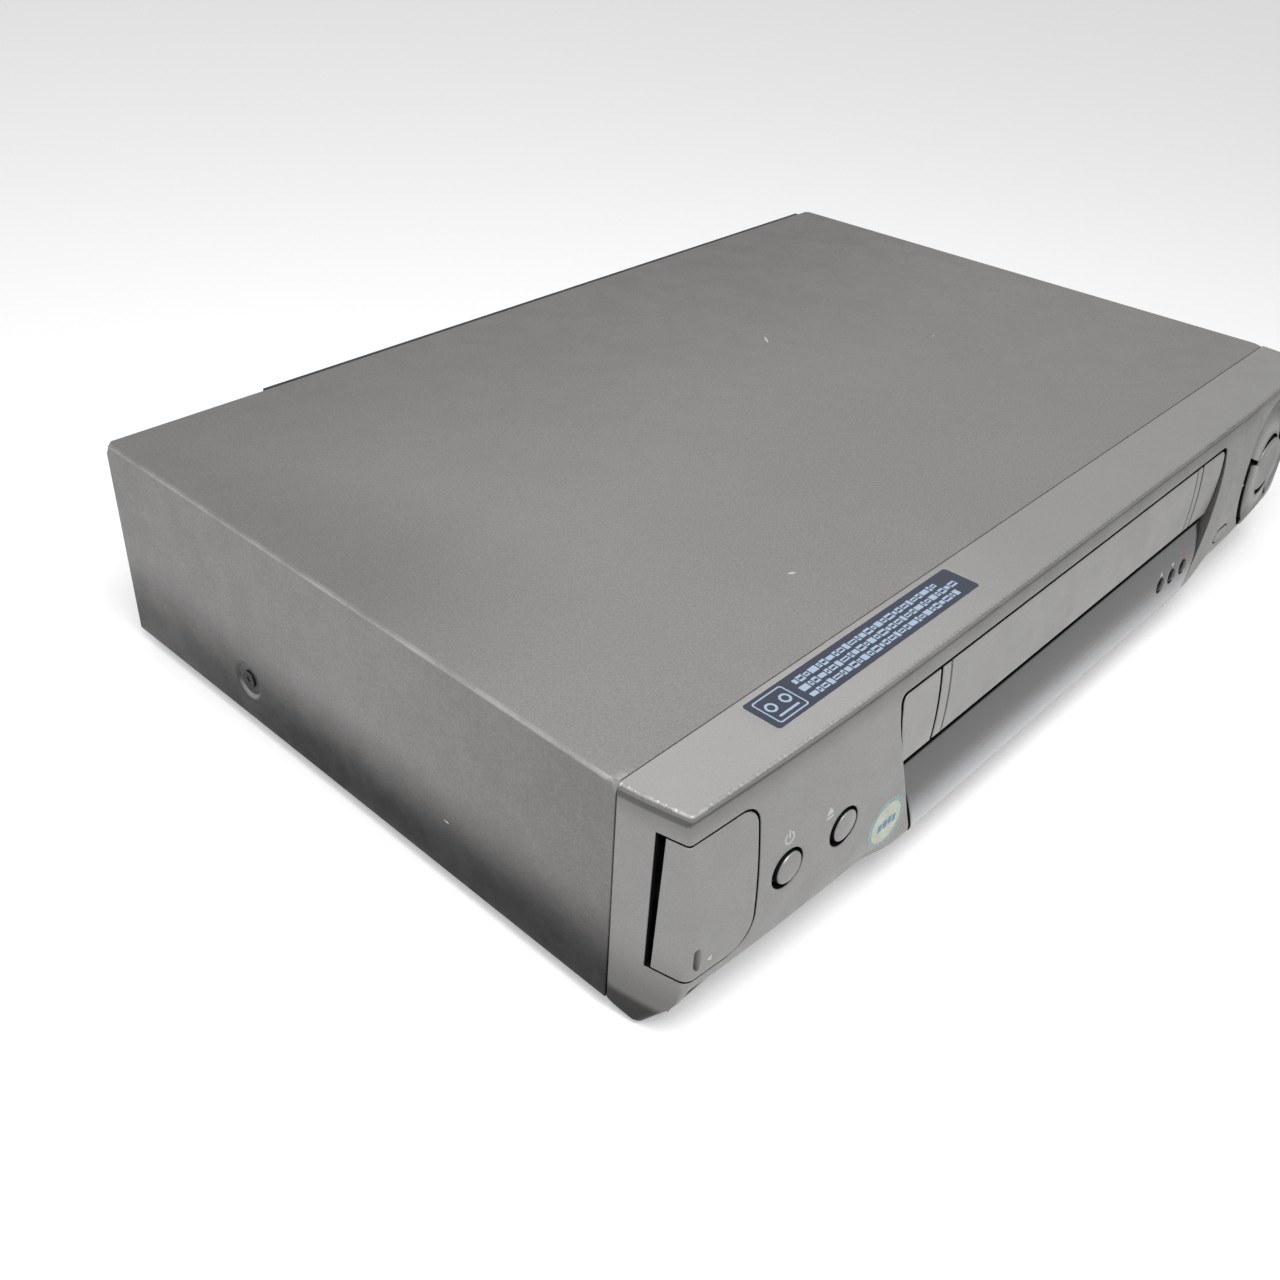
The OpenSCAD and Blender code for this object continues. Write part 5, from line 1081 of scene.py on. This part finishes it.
# Above the keys: the signs for eject and power, two arrows, a dot and a dash.
UP = [(0, -1.3), (1.5, 1.0), (-1.5, 1.0)]
marks = Piece("printed_marks")
decal(marks, moved(UP, -153.2, 30.8, 1.1), wrap, 0)
decal(marks, rect(-154.9, -151.5, 32.7, 33.4), wrap, 0)
decal(marks, arc(-171.5, 29.6, 2.1, -60, 240, 22) + arc(-171.5, 29.6, 1.6, 240, -60, 22), wrap, 0)
decal(marks, rect(-171.8, -171.2, 26.9, 29.6), wrap, 0)
for (_, x), sign in zip(DOTS, (1, -1)):
    decal(marks, moved([(a, sign * b) for a, b in UP][::sign], x, 50.4, 0.8), window_face, 0)
decal(marks, circle(DOTS[2][1], 50.4, 1.1, 24), window_face, 1)
decal(marks, rect(147, 149.4, 36.6, 37.2), wrap, 0)
marks.build("cabinet", ["print", "print_red"], None)
flap_mark = Piece("flap_mark")
decal(flap_mark, [(-202.8, 55.0), (-201.0, 54.0), (-201.0, 56.0)], wrap, 0)
flap_mark.build("flap", ["print"], None)


# ---- steel cover

FOLD = 1.2  # radius of the folds
SIDE = TOP - FEET - FOLD  # the flat part of a side
HALF = 215.0
FLAT = 2 * (HALF - FOLD)  # the flat part of the top
BEND = FOLD * math.pi / 2
TOTAL = 2 * SIDE + 2 * BEND + FLAT
COVER_END = 258.0  # y of its rear edge
DISH_U = (17.0, TOTAL - 17.0)  # the dishes of the side screws
DISH_Y = 179.0


def cover_face(u, y):
    """The cover unrolled: u runs up the left side, over the top and down the right side."""
    a1, a2, a3, a4 = SIDE, SIDE + BEND, SIDE + BEND + FLAT, SIDE + 2 * BEND + FLAT
    t, q = (u - a1) / FOLD, (u - a3) / FOLD     # angles round the two folds
    parts = [u < a1, u < a2, u <= a3, u < a4]
    x = np.select(parts, [-HALF + 0 * u, -HALF + FOLD - FOLD * np.cos(t), -HALF + FOLD + (u - a2),
                          HALF - FOLD + FOLD * np.sin(q)], HALF)
    z = np.select(parts, [FEET + u, TOP - FOLD + FOLD * np.sin(t), TOP + 0 * u,
                          TOP - FOLD + FOLD * np.cos(q)], TOP - FOLD - (u - a4))
    return np.stack([x, y, z], -1)


def dishes(u, v):
    d = np.min([np.hypot(u - c, v - DISH_Y) for c in DISH_U], axis=0)
    return 1.6 * ease((8.3 - d) / 3.4)


spots = [(c + r * math.cos(a), DISH_Y + r * math.sin(a)) for c in DISH_U for r in np.arange(0.6, 10, 0.5)
         for a in np.linspace(0, 2 * math.pi, 48)[:-1]]
folds = [start + BEND * k / 8 for start in (SIDE, SIDE + BEND + FLAT) for k in range(9)]
cover = Piece("cover_shell")
cover.add(skin(rect(0, TOTAL, 0.4, COVER_END), [], cover_face, rim=0.35, grid=7.0, columns=folds,
               extra=spots, push=dishes, thick=1.0, back=True, flip=True, step=6.0))
cover.add(rounded_box((-213, COVER_END - 1, 78), (213, COVER_END, 86.5), 0.2))
cover.build("cabinet", ["cover"], "cover_paint", ["top_cover"])


# ---- floor and light

FLOOR_GLOW = 0.32  # the floor's own light, for the camera alone
REFLECTED, AMBIENT = 0.6, 0.42  # the white surroundings in reflections, and as light

ground = bpy.data.materials.new("ground")
ground.use_nodes = True
g = Nodes(ground.node_tree)
g_shader = ground.node_tree.nodes["Principled BSDF"]
seen = g.new("ShaderNodeLightPath").outputs["Is Camera Ray"]
for key, value in (("Base Color", (0.83, 0.83, 0.83, 1)), ("Roughness", 0.9), ("Specular IOR Level", 0.0),
                   ("Emission Color", (1, 1, 1, 1)), ("Emission Strength", g.times(seen, FLOOR_GLOW))):
    g.put(g_shader, key, value)
floor_mesh = bpy.data.meshes.new("floor")
floor_mesh.from_pydata([(-6, -6, 0), (6, -6, 0), (6, 6, 0), (-6, 6, 0)], [], [(0, 1, 2, 3)])
floor_mesh.materials.append(ground)
floor = bpy.data.objects.new("floor", floor_mesh)
scene.collection.objects.link(floor)

world = bpy.data.worlds.new("world")
scene.world = world
world.use_nodes = True
w = Nodes(world.node_tree)
path = w.new("ShaderNodeLightPath").outputs
shown = w.math("MAXIMUM", path["Is Camera Ray"], path["Is Transmission Ray"])
shown = w.math("MAXIMUM", shown, w.times(path["Is Glossy Ray"], REFLECTED))
sky = world.node_tree.nodes["Background"]
w.put(sky, "Color", (1, 1, 1, 1))
w.put(sky, "Strength", w.math("MAXIMUM", shown, AMBIENT))


def lamp(name, place, aim, size, power):
    data = bpy.data.lights.new(name, "AREA")
    data.shape = "RECTANGLE"
    data.size, data.size_y = size
    data.energy = power
    ob = bpy.data.objects.new(name, data)
    scene.collection.objects.link(ob)
    ob.location = place
    ob.rotation_euler = (Vector(aim) - Vector(place)).to_track_quat("-Z", "Y").to_euler()


lamp("key", (-0.27, -0.3, 0.74), (-0.08, -0.05, 0.06), (0.5, 0.5), 5.3)
lamp("left", (-1.3, 0.55, 0.6), (-0.1, 0.05, 0.04), (0.9, 0.6), 3.6)
lamp("rear", (0.6, 1.2, 1.4), (0, 0, 0.05), (1.6, 1.2), 1.5)
